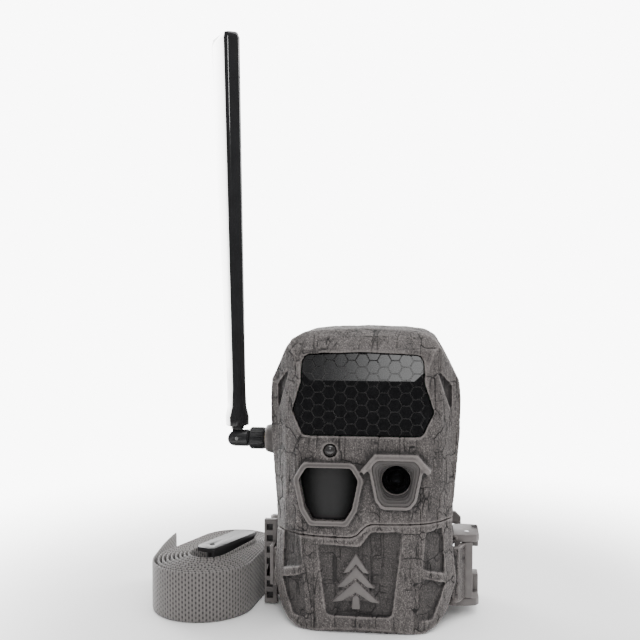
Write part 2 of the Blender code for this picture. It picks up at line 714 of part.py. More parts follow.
def make_latch():
    """The latch: a barrel on its pin, an arm along the side, and a cored finger plate of seven windows."""
    barrel = rod("latch_barrel", "Z", LATCH, 2.5, LATCH_BARREL_LOW, LATCH_BARREL_HIGH, 20)
    arm_outline = [(-50.4, 12), (-48.4, 12), (-47.4, 2), (-50.2, 2)]
    arm = plate("latch_arm", arm_outline, "Z", LATCH_BARREL_LOW, LATCH_BARREL_HIGH)
    plate_part = box("latch_plate", (-53.7, -47.1), (0.4, 4), (LATCH_LOW, LATCH_HIGH))
    nose = box("latch_nose", (-49.0, -47.1), (-9.6, 1), (14, 34))
    join(plate_part, arm, barrel, nose)
    pitch = (LATCH_HIGH - LATCH_LOW - 2.2) / LATCH_WINDOWS
    for number in range(LATCH_WINDOWS):
        low = LATCH_LOW + 2.4 + pitch * number
        cut(plate_part, box(f"latch_window_{number}", (-52.5, -49.2), (-1, 3.0), (low, low + pitch - 2.6)))
    cut(plate_part, rod("latch_bore", "Z", LATCH, HINGE_PIN_R + 0.15, 0, 60, 16))
    settled(plate_part, "side_latch", "taupe_plastic")


def make_bracket():
    """The tree bracket on the back: strap slots at its ends and two toothed ribs."""
    low, high = 3.0, 44.0
    face = BACK_Y + GAP
    outline = [
        (-50, low + 3), (-47, low), (47, low), (50, low + 3),
        (50, high - 3), (47, high), (-47, high), (-50, high - 3),
    ]
    bracket = plate("bracket_form", outline, "Y", face, face + 3.6)
    teeth = []
    for step in range(7):
        z = low + 3 + 5 * step
        teeth += [(face + 3, z), (face + 7.5, z + 1.6), (face + 7.5, z + 2.6), (face + 4.6, z + 4.2)]
    rib = teeth + [(face + 3, high - 3)]
    for side in (-1, 1):
        middle = side * 17
        join(bracket, plate(f"bracket_rib_{side}", rib, "X", middle - 2, middle + 2))
        cut(bracket, box(f"strap_slot_{side}", (side * 44 - 2.6, side * 44 + 2.6), (20, 50), (9.4, 37.6)))
    for number, (x, z) in enumerate(BRACKET_SCREWS):
        cut(bracket, rod(f"bracket_hole_{number}", "Y", (x, z), SCREW_HOLE_R, 20, 50, 10))
    settled(bracket, "tree_bracket", "taupe_plastic")


def make_screws():
    """Pan-head screws: four hold the tree bracket, four hold the housing together."""
    for kind, places, seat in (
        ("bracket_screw", BRACKET_SCREWS, BACK_Y + 2 * GAP + 3.6),
        ("housing_screw", HOUSING_SCREWS, BACK_Y + GAP),
    ):
        for number, (x, z) in enumerate(places, 1):
            screw = rod(f"{kind}_form_{number}", "Y", (x, z), 2.9, seat, seat + 1.7, 12, far_radius=2.2)
            shank = rod(f"{kind}_shank_{number}", "Y", (x, z), 1.2, seat - 8, seat + 0.5, 10)
            slot = box(f"{kind}_slot_{number}", (x - 2.0, x + 2.0), (seat + 1, seat + 3), (z - 0.4, z + 0.4))
            settled(cut(join(screw, shank), slot), f"{kind}_{number}", "steel")
    insert = rod("insert_form", "Y", (0, TRIPOD_Z), 4.5, 24, BACK_Y + 2.4, 20)
    cut(insert, rod("insert_bore", "Y", (0, TRIPOD_Z), 2.6, 26, 45, 16))
    settled(insert, "tripod_insert", "brass")


def make_antenna():
    """Jack, coupling nut, knuckle, pin, neck and blade. The blade leans a little from the upright."""
    x, y, z = JACK
    jack = rod("jack_form", "X", (y, z), 3.0, -60.4, -41, 20)
    join(jack, rod("jack_flange", "X", (y, z), 5.2, -41.4, -39.4, 6))
    cut(jack, rod("jack_socket", "X", (y, z), 1.6, -70, -50, 12))
    settled(jack, "antenna_jack", "brass")

    nut = rod("nut_form", "X", (y, z), NUT_R - 1.2, NUT_FAR, NUT_FAR + 1.4, 24, far_radius=NUT_R)
    join(nut, rod("nut_body", "X", (y, z), NUT_R, NUT_FAR + 1.2, NUT_NEAR, 24))
    cut(
        nut,
        rod("nut_bore", "X", (y, z), 3.3, NUT_FAR + 1.5, NUT_NEAR + 3, 24),
        rod("nut_eye", "X", (y, z), 2.9, NUT_FAR - 2, NUT_FAR + 3, 24),
    )
    settled(nut, "coupling_nut", "black_plastic")

    knuckle = rod("knuckle_form", "X", (y, z), 4.5, x - 4.6, -62.6, 16, turn=math.pi / 16)
    rounding = rod("knuckle_rounding", "Y", (x, z), 4.6, y - 9, y + 9, 24)
    keep(knuckle, join(rounding, box("knuckle_rest", (x, x + 9), (y - 9, y + 9), (z - 6, z + 6))))
    join(knuckle, rod("knuckle_stub", "X", (y, z), 2.6, -63.4, -60.9, 16))
    cut(
        knuckle,
        box("knuckle_slot", (x - 9, x + 3.4), (y - 1.9, y + 1.9), (z - 3.2, z + 9)),
        rod("knuckle_bore", "Y", (x, z), 1.15, y - 9, y + 9, 16),
    )
    settled(knuckle, "antenna_knuckle", "black_plastic")
    rod("antenna_pin", "Y", (x, z), 1.0, y - 4.2, y + 4.2, 16, "steel")

    neck = rod("neck_form", "Z", (0, 0), 3.4, 4.9, ANTENNA_BASE - GAP, 20)
    join(
        neck,
        box("neck_tongue", (-2.6, 2.6), (-1.6, 1.6), (0, 5.4)),
        rod("neck_eye", "Y", (0, 0), 2.7, -1.5, 1.5, 20),
        rod("neck_peg", "Z", (0, 0), 2.2, 5, ANTENNA_BASE + 8, 16),
    )
    cut(neck, rod("neck_bore", "Y", (0, 0), 1.15, -9, 9, 16))
    lean(settled(neck, "antenna_neck", "black_plastic"))

    blade = finish("blade_form", blade_mesh(), None)
    cut(blade, rod("blade_bore", "Z", (0, 0), 2.4, ANTENNA_BASE - 2, ANTENNA_BASE + 8.4, 16))
    lean(settled(blade, "antenna_blade", "black_plastic"))

    route = [
        (-39.2, y, z), (-36, y, z), (-33, y - 1, z - 1), (-30.5, y - 1.4, z - 4),
        (-29.5, y - 1.6, z - 9), (-29.5, y - 2, z - 14), (-29.5, -3.4, z - 17),
    ]
    cable("antenna_cable", route, 0.8)


def lean(obj):
    """Stands an antenna piece on the fold pin, with its origin there."""
    obj.location = Vector(JACK) * MM
    obj.rotation_euler = (0, -ANTENNA_LEAN, 0)


def cable(name, route, radius):
    curve = bpy.data.curves.new(name, "CURVE")
    curve.dimensions = "3D"
    curve.bevel_depth = radius
    curve.bevel_resolution = 2
    curve.use_fill_caps = True
    spline = curve.splines.new("POLY")
    spline.points.add(len(route) - 1)
    for point, place in zip(spline.points, route):
        point.co = (*place, 1)
    guide = bpy.data.objects.new(name + "_line", curve)
    bpy.context.scene.collection.objects.link(guide)
    mesh = evaluated_mesh(guide)
    bpy.data.objects.remove(guide)
    weld(mesh)
    finish(name, mesh, "black_plastic")


def blade_section(share):
    """(half width, half thickness, corner) of the blade, share of the way from its foot to its tip."""
    stations = [
        (0.0, 5.3, 5.3, 2.2), (0.022, 5.5, 5.4, 2.2), (0.05, 5.3, 4.0, 1.6),
        (0.1, 5.6, 3.6, 1.3), (0.985, 10.8, 4.4, 1.5), (1.0, 10.0, 3.6, 1.4),
    ]
    for (a, *first), (b, *second) in zip(stations, stations[1:]):
        if a <= share <= b:
            part = (share - a) / (b - a)
            return [p + (q - p) * part for p, q in zip(first, second)]
    return list(stations[-1][1:])


def blade_mesh():
    """A loft from a round-cornered foot to a wide flat tip, turned about its own length."""
    shares = [0, 0.022, 0.05, 0.1, 0.4, 0.7, 0.985, 1.0]
    body = bmesh.new()
    rings = []
    for share in shares:
        width, thick, corner = blade_section(share)
        flat, edge = width - corner, thick - corner
        outline = [
            (width, edge), (flat, thick), (-flat, thick), (-width, edge),
            (-width, -edge), (-flat, -thick), (flat, -thick), (width, -edge),
        ]
        height = ANTENNA_BASE + (ANTENNA_TOP - ANTENNA_BASE) * share
        turn = Matrix.Rotation(BLADE_TURN, 3, "Z")
        rings.append([body.verts.new(turn @ Vector((a, b, height))) for a, b in outline])
    for lower, upper in zip(rings, rings[1:]):
        for i in range(len(lower)):
            j = (i + 1) % len(lower)
            body.faces.new((lower[i], lower[j], upper[j], upper[i]))
    body.faces.new(rings[-1])
    body.faces.new(list(reversed(rings[0])))
    bmesh.ops.recalc_face_normals(body, faces=body.faces)
    mesh = bpy.data.meshes.new("blade_form")
    body.to_mesh(mesh)
    body.free()
    return mesh


def coil_outline(shrink):
    """The wound strap seen from above: two round ends of unlike size and the straight runs between."""
    (fx, fy, fr), (bx, by, br) = COIL_FRONT, COIL_BACK
    direction = math.degrees(math.atan2(by - fy, bx - fx))
    lean = math.degrees(math.asin((fr - br) / math.hypot(bx - fx, by - fy)))
    front = arc((fx, fy), fr - shrink, direction + 90 - lean, direction + 270 + lean, 14)
    back = arc((bx, by), br - shrink, direction - 90 + lean, direction + 90 - lean, 12)
    return front + back


def buckle_point(a, b):
    """A place a along the buckle and b across it."""
    along = Vector((math.cos(BUCKLE_TURN), math.sin(BUCKLE_TURN)))
    place = Vector(BUCKLE) + along * a + Vector((along.y, -along.x)) * b
    return place.x, place.y


def buckle_outline(points):
    return [buckle_point(a, b) for a, b in points]


def buckle_rectangle(a, b):
    return buckle_outline([(a[0], b[0]), (a[1], b[0]), (a[1], b[1]), (a[0], b[1])])


def make_strap():
    """The wound webbing, its loose end, and the cam buckle that stands in the middle of the coil."""
    coil = plate("coil_form", coil_outline(0), "Z", 0, STRAP_WIDTH)
    half, depth = BUCKLE_HALF + 2.5, BUCKLE_DEPTH / 2 + 1.0
    void = buckle_rectangle((-half, half), (-depth - 5.5, depth))
    settled(cut(coil, plate("coil_void", void, "Z", -2, 40)), "strap_coil", "webbing")

    x, y, radius = COIL_FRONT
    runs = []
    for step in (0.4, 0.4 + STRAP_THICK):
        edge = x - radius - step
        run = arc((x, y), radius + step, 205, 180, 4)
        runs.append(run + [(edge - 0.6, y + 8), (edge - 1.7, y + 20), (edge - 2.9, y + 32), (edge - 4, y + 44)])
    plate("strap_end", runs[1] + runs[0][::-1], "Z", 0, STRAP_WIDTH, "webbing")

    half, depth = BUCKLE_HALF, BUCKLE_DEPTH / 2
    cheek = buckle_outline([
        (-half, -depth + 2), (-half + 4, -depth), (half - 3, -depth), (half, -depth + 3),
        (half, depth), (-half + 2, depth), (-half, depth - 3),
    ])
    frame = plate("buckle_form", cheek, "Z", BUCKLE_HIGH - 2.2, BUCKLE_HIGH)
    back = buckle_rectangle((-half + 1, half - 1), (depth - 1.6, depth - 0.1))
    bar = buckle_rectangle((half - 5, half - 1.5), (-depth + 2.5, -depth + 5.5))
    join(
        frame,
        plate("buckle_foot", cheek, "Z", BUCKLE_LOW, BUCKLE_LOW + 2.2),
        plate("buckle_back", back, "Z", BUCKLE_LOW + 1, BUCKLE_HIGH - 1),
        plate("buckle_bar", bar, "Z", BUCKLE_LOW + 1, BUCKLE_HIGH - 1),
    )
    pin = buckle_point(-half + 7.5, 0)
    cut(frame, rod("buckle_bore", "Z", pin, 1.5, -2, 40, 14))
    settled(frame, "buckle_frame", "black_plastic")
    rod("buckle_pin", "Z", pin, 1.3, BUCKLE_LOW + 0.1, BUCKLE_HIGH + 0.1, 14, "steel")

    low, high = BUCKLE_LOW + 2.6, BUCKLE_HIGH - 2.6
    cam = rod("cam_form", "Z", pin, 3.1, low, high, 16)
    lever = buckle_outline([(-half + 7.5, -3.0), (-half + 24, -4.6), (-half + 24, -2.6), (-half + 8.5, 0.5)])
    join(cam, plate("cam_lever", lever, "Z", low + 0.6, high - 0.6))
    cut(cam, rod("cam_bore", "Z", pin, 1.5, -2, 40, 14))
    settled(cam, "buckle_cam", "black_plastic")


for old in list(bpy.data.objects):
    bpy.data.objects.remove(old)
PARTS = collection("trail_camera")
CUTTERS = collection("cutters")
make_shells()
make_front_parts()
make_lens()
make_electronics()
make_batteries()
make_controls()
make_seals()
make_pins()
make_latch()
make_bracket()
make_screws()
make_antenna()
make_strap()
for part in PARTS.objects:
    if part.type == "MESH":
        part.data.set_sharp_from_angle(angle=math.radians(30))
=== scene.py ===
"""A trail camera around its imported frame: bark-textured shells, windows, antenna, webbing and stage."""
import math

import bmesh
import bpy
import numpy as np
from bpy.props import FloatProperty, FloatVectorProperty, PointerProperty
from mathutils import Matrix, Vector
from mathutils.bvhtree import BVHTree


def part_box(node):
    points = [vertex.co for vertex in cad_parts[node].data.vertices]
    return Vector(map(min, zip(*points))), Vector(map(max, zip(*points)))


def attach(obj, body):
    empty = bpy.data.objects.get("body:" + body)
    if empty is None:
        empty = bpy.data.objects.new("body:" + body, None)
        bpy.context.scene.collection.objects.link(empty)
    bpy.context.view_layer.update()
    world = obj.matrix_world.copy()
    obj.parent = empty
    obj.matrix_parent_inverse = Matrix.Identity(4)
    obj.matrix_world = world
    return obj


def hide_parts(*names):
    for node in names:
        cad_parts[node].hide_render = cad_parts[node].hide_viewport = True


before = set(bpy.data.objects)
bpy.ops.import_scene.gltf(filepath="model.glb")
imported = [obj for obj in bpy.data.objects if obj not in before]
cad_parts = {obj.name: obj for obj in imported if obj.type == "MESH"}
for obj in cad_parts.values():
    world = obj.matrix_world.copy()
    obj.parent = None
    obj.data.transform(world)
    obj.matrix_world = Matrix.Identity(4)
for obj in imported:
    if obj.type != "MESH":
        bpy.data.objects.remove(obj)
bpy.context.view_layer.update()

bl_info = {
    "name": "Trail camera",
    "version": (1, 0, 0),
    "blender": (4, 5, 0),
    "location": "View3D > Sidebar > Trail camera",
    "description": "Dresses a trail camera's frame with bark shells, windows, an antenna and a wound strap",
    "category": "Object",
}

MM = 0.001


# ---------------------------------------------------------------- settings

def colour(name, description, value):
    return FloatVectorProperty(
        name=name, description=description, default=value, subtype="COLOR", size=3, min=0, max=1,
    )


def length(name, description, value):
    return FloatProperty(name=name, description=description, default=value, unit="LENGTH", subtype="DISTANCE")


def amount(name, description, value):
    return FloatProperty(name=name, description=description, default=value, min=0)


class BarkSettings(bpy.types.PropertyGroup):
    """The moulded bark of the housing."""

    middle: colour("Bark", "Colour of the plates of bark", (0.080, 0.0715, 0.0685))
    light: colour("Ridges", "Colour of worn grain and edges", (0.205, 0.185, 0.178))
    # Also the colour of the painted shade in grooves, recesses and the door's panel.
    dark: colour("Cracks", "Colour in the cracks", (0.012, 0.011, 0.011))
    plate_width: length("Plate width", "Width of one plate of bark", 0.0098)
    plate_height: length("Plate height", "Height of one plate of bark", 0.0125)
    crack_depth: length("Crack depth", "How deep the cracks are moulded", 0.00042)
    grain_depth: length("Grain depth", "How far the grain stands out", 0.00016)
    front_voxel: length("Front detail", "Mesh size of the front shells", 0.00056)
    rear_voxel: length("Rear detail", "Mesh size of the rear shell", 0.00092)


class PlasticSettings(bpy.types.PropertyGroup):
    """The smooth plastics."""

    taupe: colour("Taupe", "Colour of the smooth plastic", (0.118, 0.107, 0.103))
    black: colour("Black", "Colour of the black plastic", (0.012, 0.012, 0.013))
    window: colour("Window", "Colour of the dark window", (0.0045, 0.0045, 0.005))
    bevel: length("Edge radius", "Rounding of the moulded edges", 0.00032)
    hexagon: length("Hexagon", "Width of a window hexagon across its flats", 0.0061)
    groove: length("Groove", "Width of the groove between hexagons", 0.00022)


class StrapSettings(bpy.types.PropertyGroup):
    """The mounting strap."""

    webbing: colour("Webbing", "Colour of the webbing", (0.168, 0.155, 0.149))
    shadow: colour("Weave shadow", "Colour between the yarns", (0.028, 0.026, 0.025))
    width: length("Width", "Width of the webbing", 0.0252)
    thickness: length("Thickness", "Thickness of the webbing", 0.00098)
    turns: FloatProperty(name="Turns", description="Turns in the coil", default=8.683, min=4, max=9)
    weave_along: length("Weave length", "Length of one repeat of the weave", 0.00172)
    weave_across: length("Weave width", "Width of one repeat of the weave", 0.00252)


class StageSettings(bpy.types.PropertyGroup):
    """The floor, light and camera."""

    floor: colour("Floor", "Colour of the floor", (0.9, 0.9, 0.9))
    sky: amount("Sky", "Strength of the even light", 1.0)
    gloss: amount("Gloss", "Strength of the even light in reflections", 0.16)
    backdrop: amount("Backdrop", "Strength of the white behind the camera", 9.0)
    key: amount("Key light", "Power of the key light in watts", 2.5)
    top: amount("Top light", "Power of the light overhead in watts", 9.0)
    rim: amount("Rim lights", "Power of each rim light in watts", 8.0)
    gleam: amount("Gleam", "Power of the light seen in glossy faces", 26.0)


# ---------------------------------------------------------------- node trees

class Value:
    """A node's output socket that adds Math nodes when it is used in an expression."""

    def __init__(self, graph, socket):
        self.graph = graph
        self.socket = socket

    def math(self, operation, *others):
        return self.graph.node("ShaderNodeMath", {"operation": operation}, dict(enumerate((self, *others))))

    def __add__(self, other):
        return self.math("ADD", other)

    __radd__ = __add__

    def __mul__(self, other):
        return self.math("MULTIPLY", other)

    __rmul__ = __mul__

    def __sub__(self, other):
        return self.math("SUBTRACT", other)

    def __rsub__(self, other):
        return self.graph.node("ShaderNodeMath", {"operation": "SUBTRACT"}, {0: other, 1: self})

    def __truediv__(self, other):
        return self.math("DIVIDE", other)

    def most(self, other):
        return self.math("MAXIMUM", other)

    def ramp(self, low, high):
        """0 at low and 1 at high, smoothly."""
        return self.graph.node(
            "ShaderNodeMapRange", {"interpolation_type": "SMOOTHSTEP"}, {0: self, 1: low, 2: high},
        )


class Graph:
    """A node tree under construction."""

    def __init__(self, tree):
        self.tree = tree

    def node(self, kind, settings=None, values=None, out=0):
        made = self.tree.nodes.new(kind)
        for key, value in (settings or {}).items():
            setattr(made, key, value)
        for key, value in (values or {}).items():
            if isinstance(value, Value):
                self.tree.links.new(value.socket, made.inputs[key])
            else:
                made.inputs[key].default_value = value
        return Value(self, made.outputs[out]) if made.outputs else made

    def vector(self, operation, *values):
        return self.node("ShaderNodeVectorMath", {"operation": operation}, dict(enumerate(values)))

    def scaled(self, place, factors):
        return self.vector("MULTIPLY", place, factors)

    def axis(self, place, name):
        return self.node("ShaderNodeSeparateXYZ", {}, {0: place}, name)

    def attribute(self, name):
        return self.node("ShaderNodeAttribute", {"attribute_name": name}, {}, "Fac")

    def noise(self, place, factors, detail=3.0, rough=0.55, out=0):
        values = {"Vector": self.scaled(place, factors), "Scale": 1.0, "Detail": detail, "Roughness": rough}
        return self.node("ShaderNodeTexNoise", {}, values, out)

    def edges(self, place, factors, feature_gap, randomness=0.9):
        """1 in the thin gaps between blocky cells and 0 inside them."""
        scaled = self.scaled(place, factors)
        values = {"Vector": scaled, "Scale": 1.0, "Randomness": randomness}
        near = self.node("ShaderNodeTexVoronoi", {"distance": "CHEBYCHEV", "feature": "F1"}, values)
        far = self.node("ShaderNodeTexVoronoi", {"distance": "CHEBYCHEV", "feature": "F2"}, values)
        return 1 - (far - near).ramp(0.0, feature_gap)

    def blend(self, factor, first, second):
        settings = {"data_type": "RGBA", "blend_type": "MIX"}
        return self.node("ShaderNodeMix", settings, {0: factor, 6: first, 7: second}, 2)


def bark_field(graph, place, settings):
    """Cracks, grain and smudges of the bark, each from 0 to 1, at a place on the housing."""
    warp = graph.noise(place, (160, 160, 110), 2.0, 0.5, 1)
    bent = graph.scaled(graph.vector("SUBTRACT", warp, (0.5,) * 3), (0.0015, 0.0015, 0.0030))
    moved = graph.vector("ADD", place, bent)
    wide, high = 1 / settings.plate_width, 1 / settings.plate_height
    plates = graph.edges(moved, (wide, wide, high), 0.052, 0.62)
    plates = plates * graph.noise(place, (85, 85, 60), 2.0).ramp(0.34, 0.56)
    splits = graph.edges(moved, (wide * 1.7, wide * 1.7, high * 0.36), 0.070, 0.65)
    splits = splits * graph.noise(place, (95, 95, 70), 2.0).ramp(0.46, 0.62)
    checks = graph.edges(moved, (wide * 2.4, wide * 2.4, high * 2.9), 0.085, 0.65)
    checks = checks * graph.noise(place, (120, 120, 110), 2.0).ramp(0.52, 0.66) * 0.7
    cracks = plates.most(splits).most(checks)
    grain = graph.noise(moved, (1150, 1150, 190), 4.0, 0.66).ramp(0.32, 0.68)
    smudge = graph.noise(place, (95, 95, 34), 4.0, 0.62).ramp(0.48, 0.74)
    return cracks, grain, smudge


def shader(name, base, roughness, metallic=0.0, **fixed):
    """A material with its fixed values on the shader, and a graph to add to it."""
    made = bpy.data.materials.new(name)
    made.use_nodes = True
    principled = made.node_tree.nodes["Principled BSDF"]
    principled.inputs["Base Color"].default_value = (*base, 1)
    principled.inputs["Roughness"].default_value = roughness
    principled.inputs["Metallic"].default_value = metallic
    for key, value in fixed.items():
        principled.inputs[key.replace("_", " ")].default_value = value
    graph = Graph(made.node_tree)
    graph.shader = principled
    graph.place = graph.node("ShaderNodeTexCoord", {}, {}, "Object")
    graph.material = made
    return graph


def feed(graph, base=None, roughness=None, height=None, distance=0.0002, strength=1.0):
    """Links a material's varying colour, roughness and bump."""
    links = graph.tree.links
    if base:
        links.new(base.socket, graph.shader.inputs["Base Color"])
    if roughness:
        links.new(roughness.socket, graph.shader.inputs["Roughness"])
    if height:
        values = {"Height": height, "Distance": distance, "Strength": strength}
        bump = graph.node("ShaderNodeBump", {}, values)
        links.new(bump.socket, graph.shader.inputs["Normal"])
    return graph.material


def flat(values):
    return (*values, 1.0)


def shade(values, factor):
    return tuple(min(1.0, v * factor) for v in values) + (1.0,)


def bark_material():
    """Bark plates, cracks and grain, with smooth plastic where the plain attribute says so."""
    bark = bpy.context.scene.trail_bark
    plastic = bpy.context.scene.trail_plastic
    graph = shader("bark shell", bark.middle, 0.62, Specular_IOR_Level=0.35)
    cracks, grain, smudge = bark_field(graph, graph.place, bark)
    worn = graph.attribute("worn")
    painted_shade = graph.attribute("painted_shade")
    plain = graph.attribute("plain")
    speck = graph.noise(graph.place, (1900, 1900, 1300), 3.0, 0.7)
    tone = graph.noise(graph.place, (150, 150, 70), 3.0).ramp(0.3, 0.7)
    skin = graph.blend(tone * 0.6, shade(bark.middle, 0.78), shade(bark.middle, 1.2))
    skin = graph.blend(speck.ramp(0.49, 0.66) * (0.40 + 0.6 * grain), skin, shade(bark.light, 1.12))
    skin = graph.blend(speck.ramp(0.50, 0.36) * (1 - 0.6 * grain) * 0.75, skin, flat(bark.dark))
    skin = graph.blend(smudge * (1.15 - grain) * 0.55, skin, flat(bark.dark))
    skin = graph.blend(cracks, skin, shade(bark.dark, 0.8))
    smooth = graph.blend(speck.ramp(0.25, 0.8) * 0.5, shade(plastic.taupe, 0.56), shade(plastic.taupe, 0.80))
    base = graph.blend(plain, skin, smooth)
    base = graph.blend(worn * (0.40 + 0.45 * speck), base, shade(bark.light, 1.1))
    # Painted shade: grooves and recesses are darkened towards the crack colour.
    base = graph.blend(painted_shade * 0.72, base, flat(bark.dark))
    # Painted shade: the floors of the door's panel and the pockets beside it are darkened.
    recess = graph.attribute("recess")
    base = graph.blend(recess * 0.48, base, flat(bark.dark))
    relief = (1 - cracks) * 1.0 + grain * 0.3 + speck * 0.5
    height = relief * (1 - plain) + plain * speck * 0.25
    rough = 0.66 + grain * 0.12 - plain * 0.14
    return feed(graph, base, rough, height, 0.00034, 0.85)


def moulded_material(name, base, roughness, speckle=2400.0, depth=0.00003, spread=0.14, **fixed):
    """Moulded plastic or metal with a fine speckled texture and slightly uneven colour."""
    graph = shader(name, base, roughness, **fixed)
    speck = graph.noise(graph.place, (speckle,) * 3, 2.0, 0.6)
    cloud = graph.noise(graph.place, (95,) * 3, 3.0)
    tone = graph.blend(cloud.ramp(0.3, 0.7), shade(base, 1 - spread), shade(base, 1 + spread))
    worn = graph.attribute("worn")
    tone = graph.blend(worn * 0.5, tone, shade([v + 0.02 for v in base], 1.35))
    # Painted shade: grooves and recesses marked by set_wear go nearly black.
    painted_shade = graph.attribute("painted_shade")
    tone = graph.blend(painted_shade * 0.95, tone, shade(base, 0.08))
    return feed(graph, tone, roughness + (speck - 0.5) * 0.16, speck, depth, 0.6)


def window_material():
    settings = bpy.context.scene.trail_plastic
    graph = shader("dark window", settings.window, 0.16, Specular_IOR_Level=0.22)
    haze = graph.noise(graph.place, (420,) * 3, 4.0, 0.65)
    rim = graph.attribute("rim")
    hazy = shade([v + 0.003 for v in settings.window], 1.5)
    tone = graph.blend(haze.ramp(0.35, 0.8) * 0.5, flat(settings.window), hazy)
    # Painted highlight: the hexagons' walls are lightened, most at their feet, so the lines between them look
    # lit.
    tone = graph.blend(rim * 0.95, tone, (0.120, 0.115, 0.115, 1))
    return feed(graph, tone, 0.17 + haze * 0.05 + rim * 0.3, haze, 0.000004, 0.2)


def sensor_material():
    """The motion sensor's milky dark lens with very fine ribs, greyest in the middle from a painted highlight
    and darker towards its sides.
    """
    graph = shader("sensor lens", (0.02, 0.02, 0.021), 0.42, Specular_IOR_Level=0.25)
    across = graph.axis(graph.place, "X")
    ribs = (across * (math.tau / 0.0011)).math("SINE") * 0.5 + 0.5
    # Painted highlight: the curved lens is lightened in the middle and left darker at its sides.
    middle = 1 - ((across / MM) - SENSOR_X).math("ABSOLUTE").ramp(2.0, 12.5)
    haze = graph.noise(graph.place, (1600,) * 3, 3.0, 0.7)
    tone = graph.blend(middle * 0.8 + haze * 0.2, (0.004, 0.004, 0.004, 1), (0.023, 0.0225, 0.023, 1))
    return feed(graph, tone, 0.38 + haze * 0.16, ribs * 0.2 + haze, 0.00004, 0.5)


def webbing_material():
    """Woven webbing, from the strap's own length and height in its UV map."""
    settings = bpy.context.scene.trail_strap
    graph = shader("webbing", settings.webbing, 0.85, Sheen_Weight=0.25, Sheen_Roughness=0.5)
    along = graph.node("ShaderNodeUVMap", {"uv_map": "strap"}, {})
    run = graph.axis(along, "X")
    rise = graph.axis(along, "Y")
    rib = (run * (math.tau / settings.weave_along)).math("COSINE") * 0.5 + 0.5
    shift = (run / settings.weave_along).math("ROUND") * math.pi
    row = (rise * (math.tau / settings.weave_across) + shift).math("COSINE") * -0.5 + 0.5
    weave = 1 - (rib * row).ramp(0.20, 0.66)
    yarn = (rise * (math.tau / 0.00042) + rib * 3).math("SINE") * 0.5 + 0.5
    fuzz = graph.noise(along, (5200, 1500, 1), 3.0, 0.7)
    cloud = graph.noise(along, (60, 90, 1), 3.0)
    tone = graph.blend(fuzz, shade(settings.webbing, 0.72), shade(settings.webbing, 1.3))
    tone = graph.blend(cloud.ramp(0.3, 0.7) * 0.3, tone, shade(settings.webbing, 0.75))
    tone = graph.blend(rib * 0.30, tone, flat(settings.shadow))
    tone = graph.blend((1 - weave) * 0.95, tone, flat(settings.shadow))
    return feed(graph, tone, 0.8 + fuzz * 0.15, weave + yarn * 0.18 + fuzz * 0.25, 0.00028, 0.8)


# ---------------------------------------------------------------- meshes

def merged(node):
    """A copy of a CAD node's mesh with its loose triangles joined."""
    body = bmesh.new()
    body.from_mesh(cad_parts[node].data)
    bmesh.ops.remove_doubles(body, verts=body.verts, dist=2e-6)
    return body


def scratch(name, mesh):
    made = bpy.data.objects.new(name, mesh)
    bpy.context.scene.collection.objects.link(made)
    return made


def mesh_of(body, name="shape"):
    mesh = bpy.data.meshes.new(name)
    body.to_mesh(mesh)
    body.free()
    return mesh


def evaluated(obj):
    """The object's finished mesh; the object itself goes."""
    bpy.context.view_layer.update()
    mesh = bpy.data.meshes.new_from_object(obj.evaluated_get(bpy.context.evaluated_depsgraph_get()))
    bpy.data.objects.remove(obj)
    return mesh


def piece(name, mesh, material, body, replaces=(), smooth=35.0):
    """Links a finished mesh as a piece that rides on a body."""
    mesh.name = name
    mesh.materials.clear()
    mesh.materials.append(material)
    mesh.shade_smooth()
    if smooth:
        mesh.set_sharp_from_angle(angle=math.radians(smooth))
    made = bpy.data.objects.new(name, mesh)
    bpy.context.scene.collection.objects.link(made)
    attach(made, body)
    if replaces:
        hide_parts(*replaces)
    return made


def set_attribute(mesh, name, values):
    attribute = mesh.attributes.get(name) or mesh.attributes.new(name, "FLOAT", "POINT")
    attribute.data.foreach_set("value", np.asarray(values, dtype=np.float32))


def places_of(mesh):
    places = np.empty(len(mesh.vertices) * 3)
    mesh.vertices.foreach_get("co", places)
    return places.reshape(-1, 3)


def stand_out(mesh, rounds):
    """How far each point stands out, in metres: above 0 on an edge and below 0 in a groove."""
    places = places_of(mesh)
    edges = np.empty(len(mesh.edges) * 2, dtype=np.int64)
    mesh.edges.foreach_get("vertices", edges)
    a, b = edges.reshape(-1, 2).T
    count = len(places)
    near = np.bincount(a, minlength=count) + np.bincount(b, minlength=count)
    soft = places.copy()
    for _ in range(rounds):
        total = np.stack([
            np.bincount(a, soft[b, i], count) + np.bincount(b, soft[a, i], count) for i in range(3)
        ], axis=1)
        soft = 0.5 * soft + 0.5 * total / np.maximum(near, 1)[:, None]
    normals = np.empty(count * 3)
    mesh.vertex_normals.foreach_get("vector", normals)
    return ((places - soft) * normals.reshape(-1, 3)).sum(axis=1)


def set_wear(mesh, rounds, reach, wide=0):
    """Marks worn edges, and marks grooves and recesses for painted shade."""
    out = stand_out(mesh, rounds)
    painted_shade = np.clip(-out / reach - 0.25, 0, 1)
    # A wider pass paints shade over broad recesses too.
    if wide:
        broad = -stand_out(mesh, rounds * wide) / (reach * wide * 0.5)
        painted_shade = np.maximum(painted_shade, np.clip(broad - 0.08, 0, 1))
    set_attribute(mesh, "worn", np.clip(out / reach - 0.25, 0, 1))
    set_attribute(mesh, "painted_shade", painted_shade)


def inside(x, z, outline):
    """Which points of x and z lie inside a closed outline."""
    result = np.zeros(len(x), dtype=bool)
    for (x0, z0), (x1, z1) in zip(outline, outline[1:] + outline[:1]):
        crosses = (z0 > z) != (z1 > z)
        with np.errstate(divide="ignore", invalid="ignore"):
            at = x0 + (z - z0) * (x1 - x0) / (z1 - z0)
        result ^= crosses & (x < at)
    return result


def closed(half):
    """A whole outline from its right half, which runs from top to bottom."""
    return list(half) + [(-x, z) for x, z in reversed(half) if x > 0]


def moved(outline, x):
    return [(px + x, pz) for px, pz in outline]


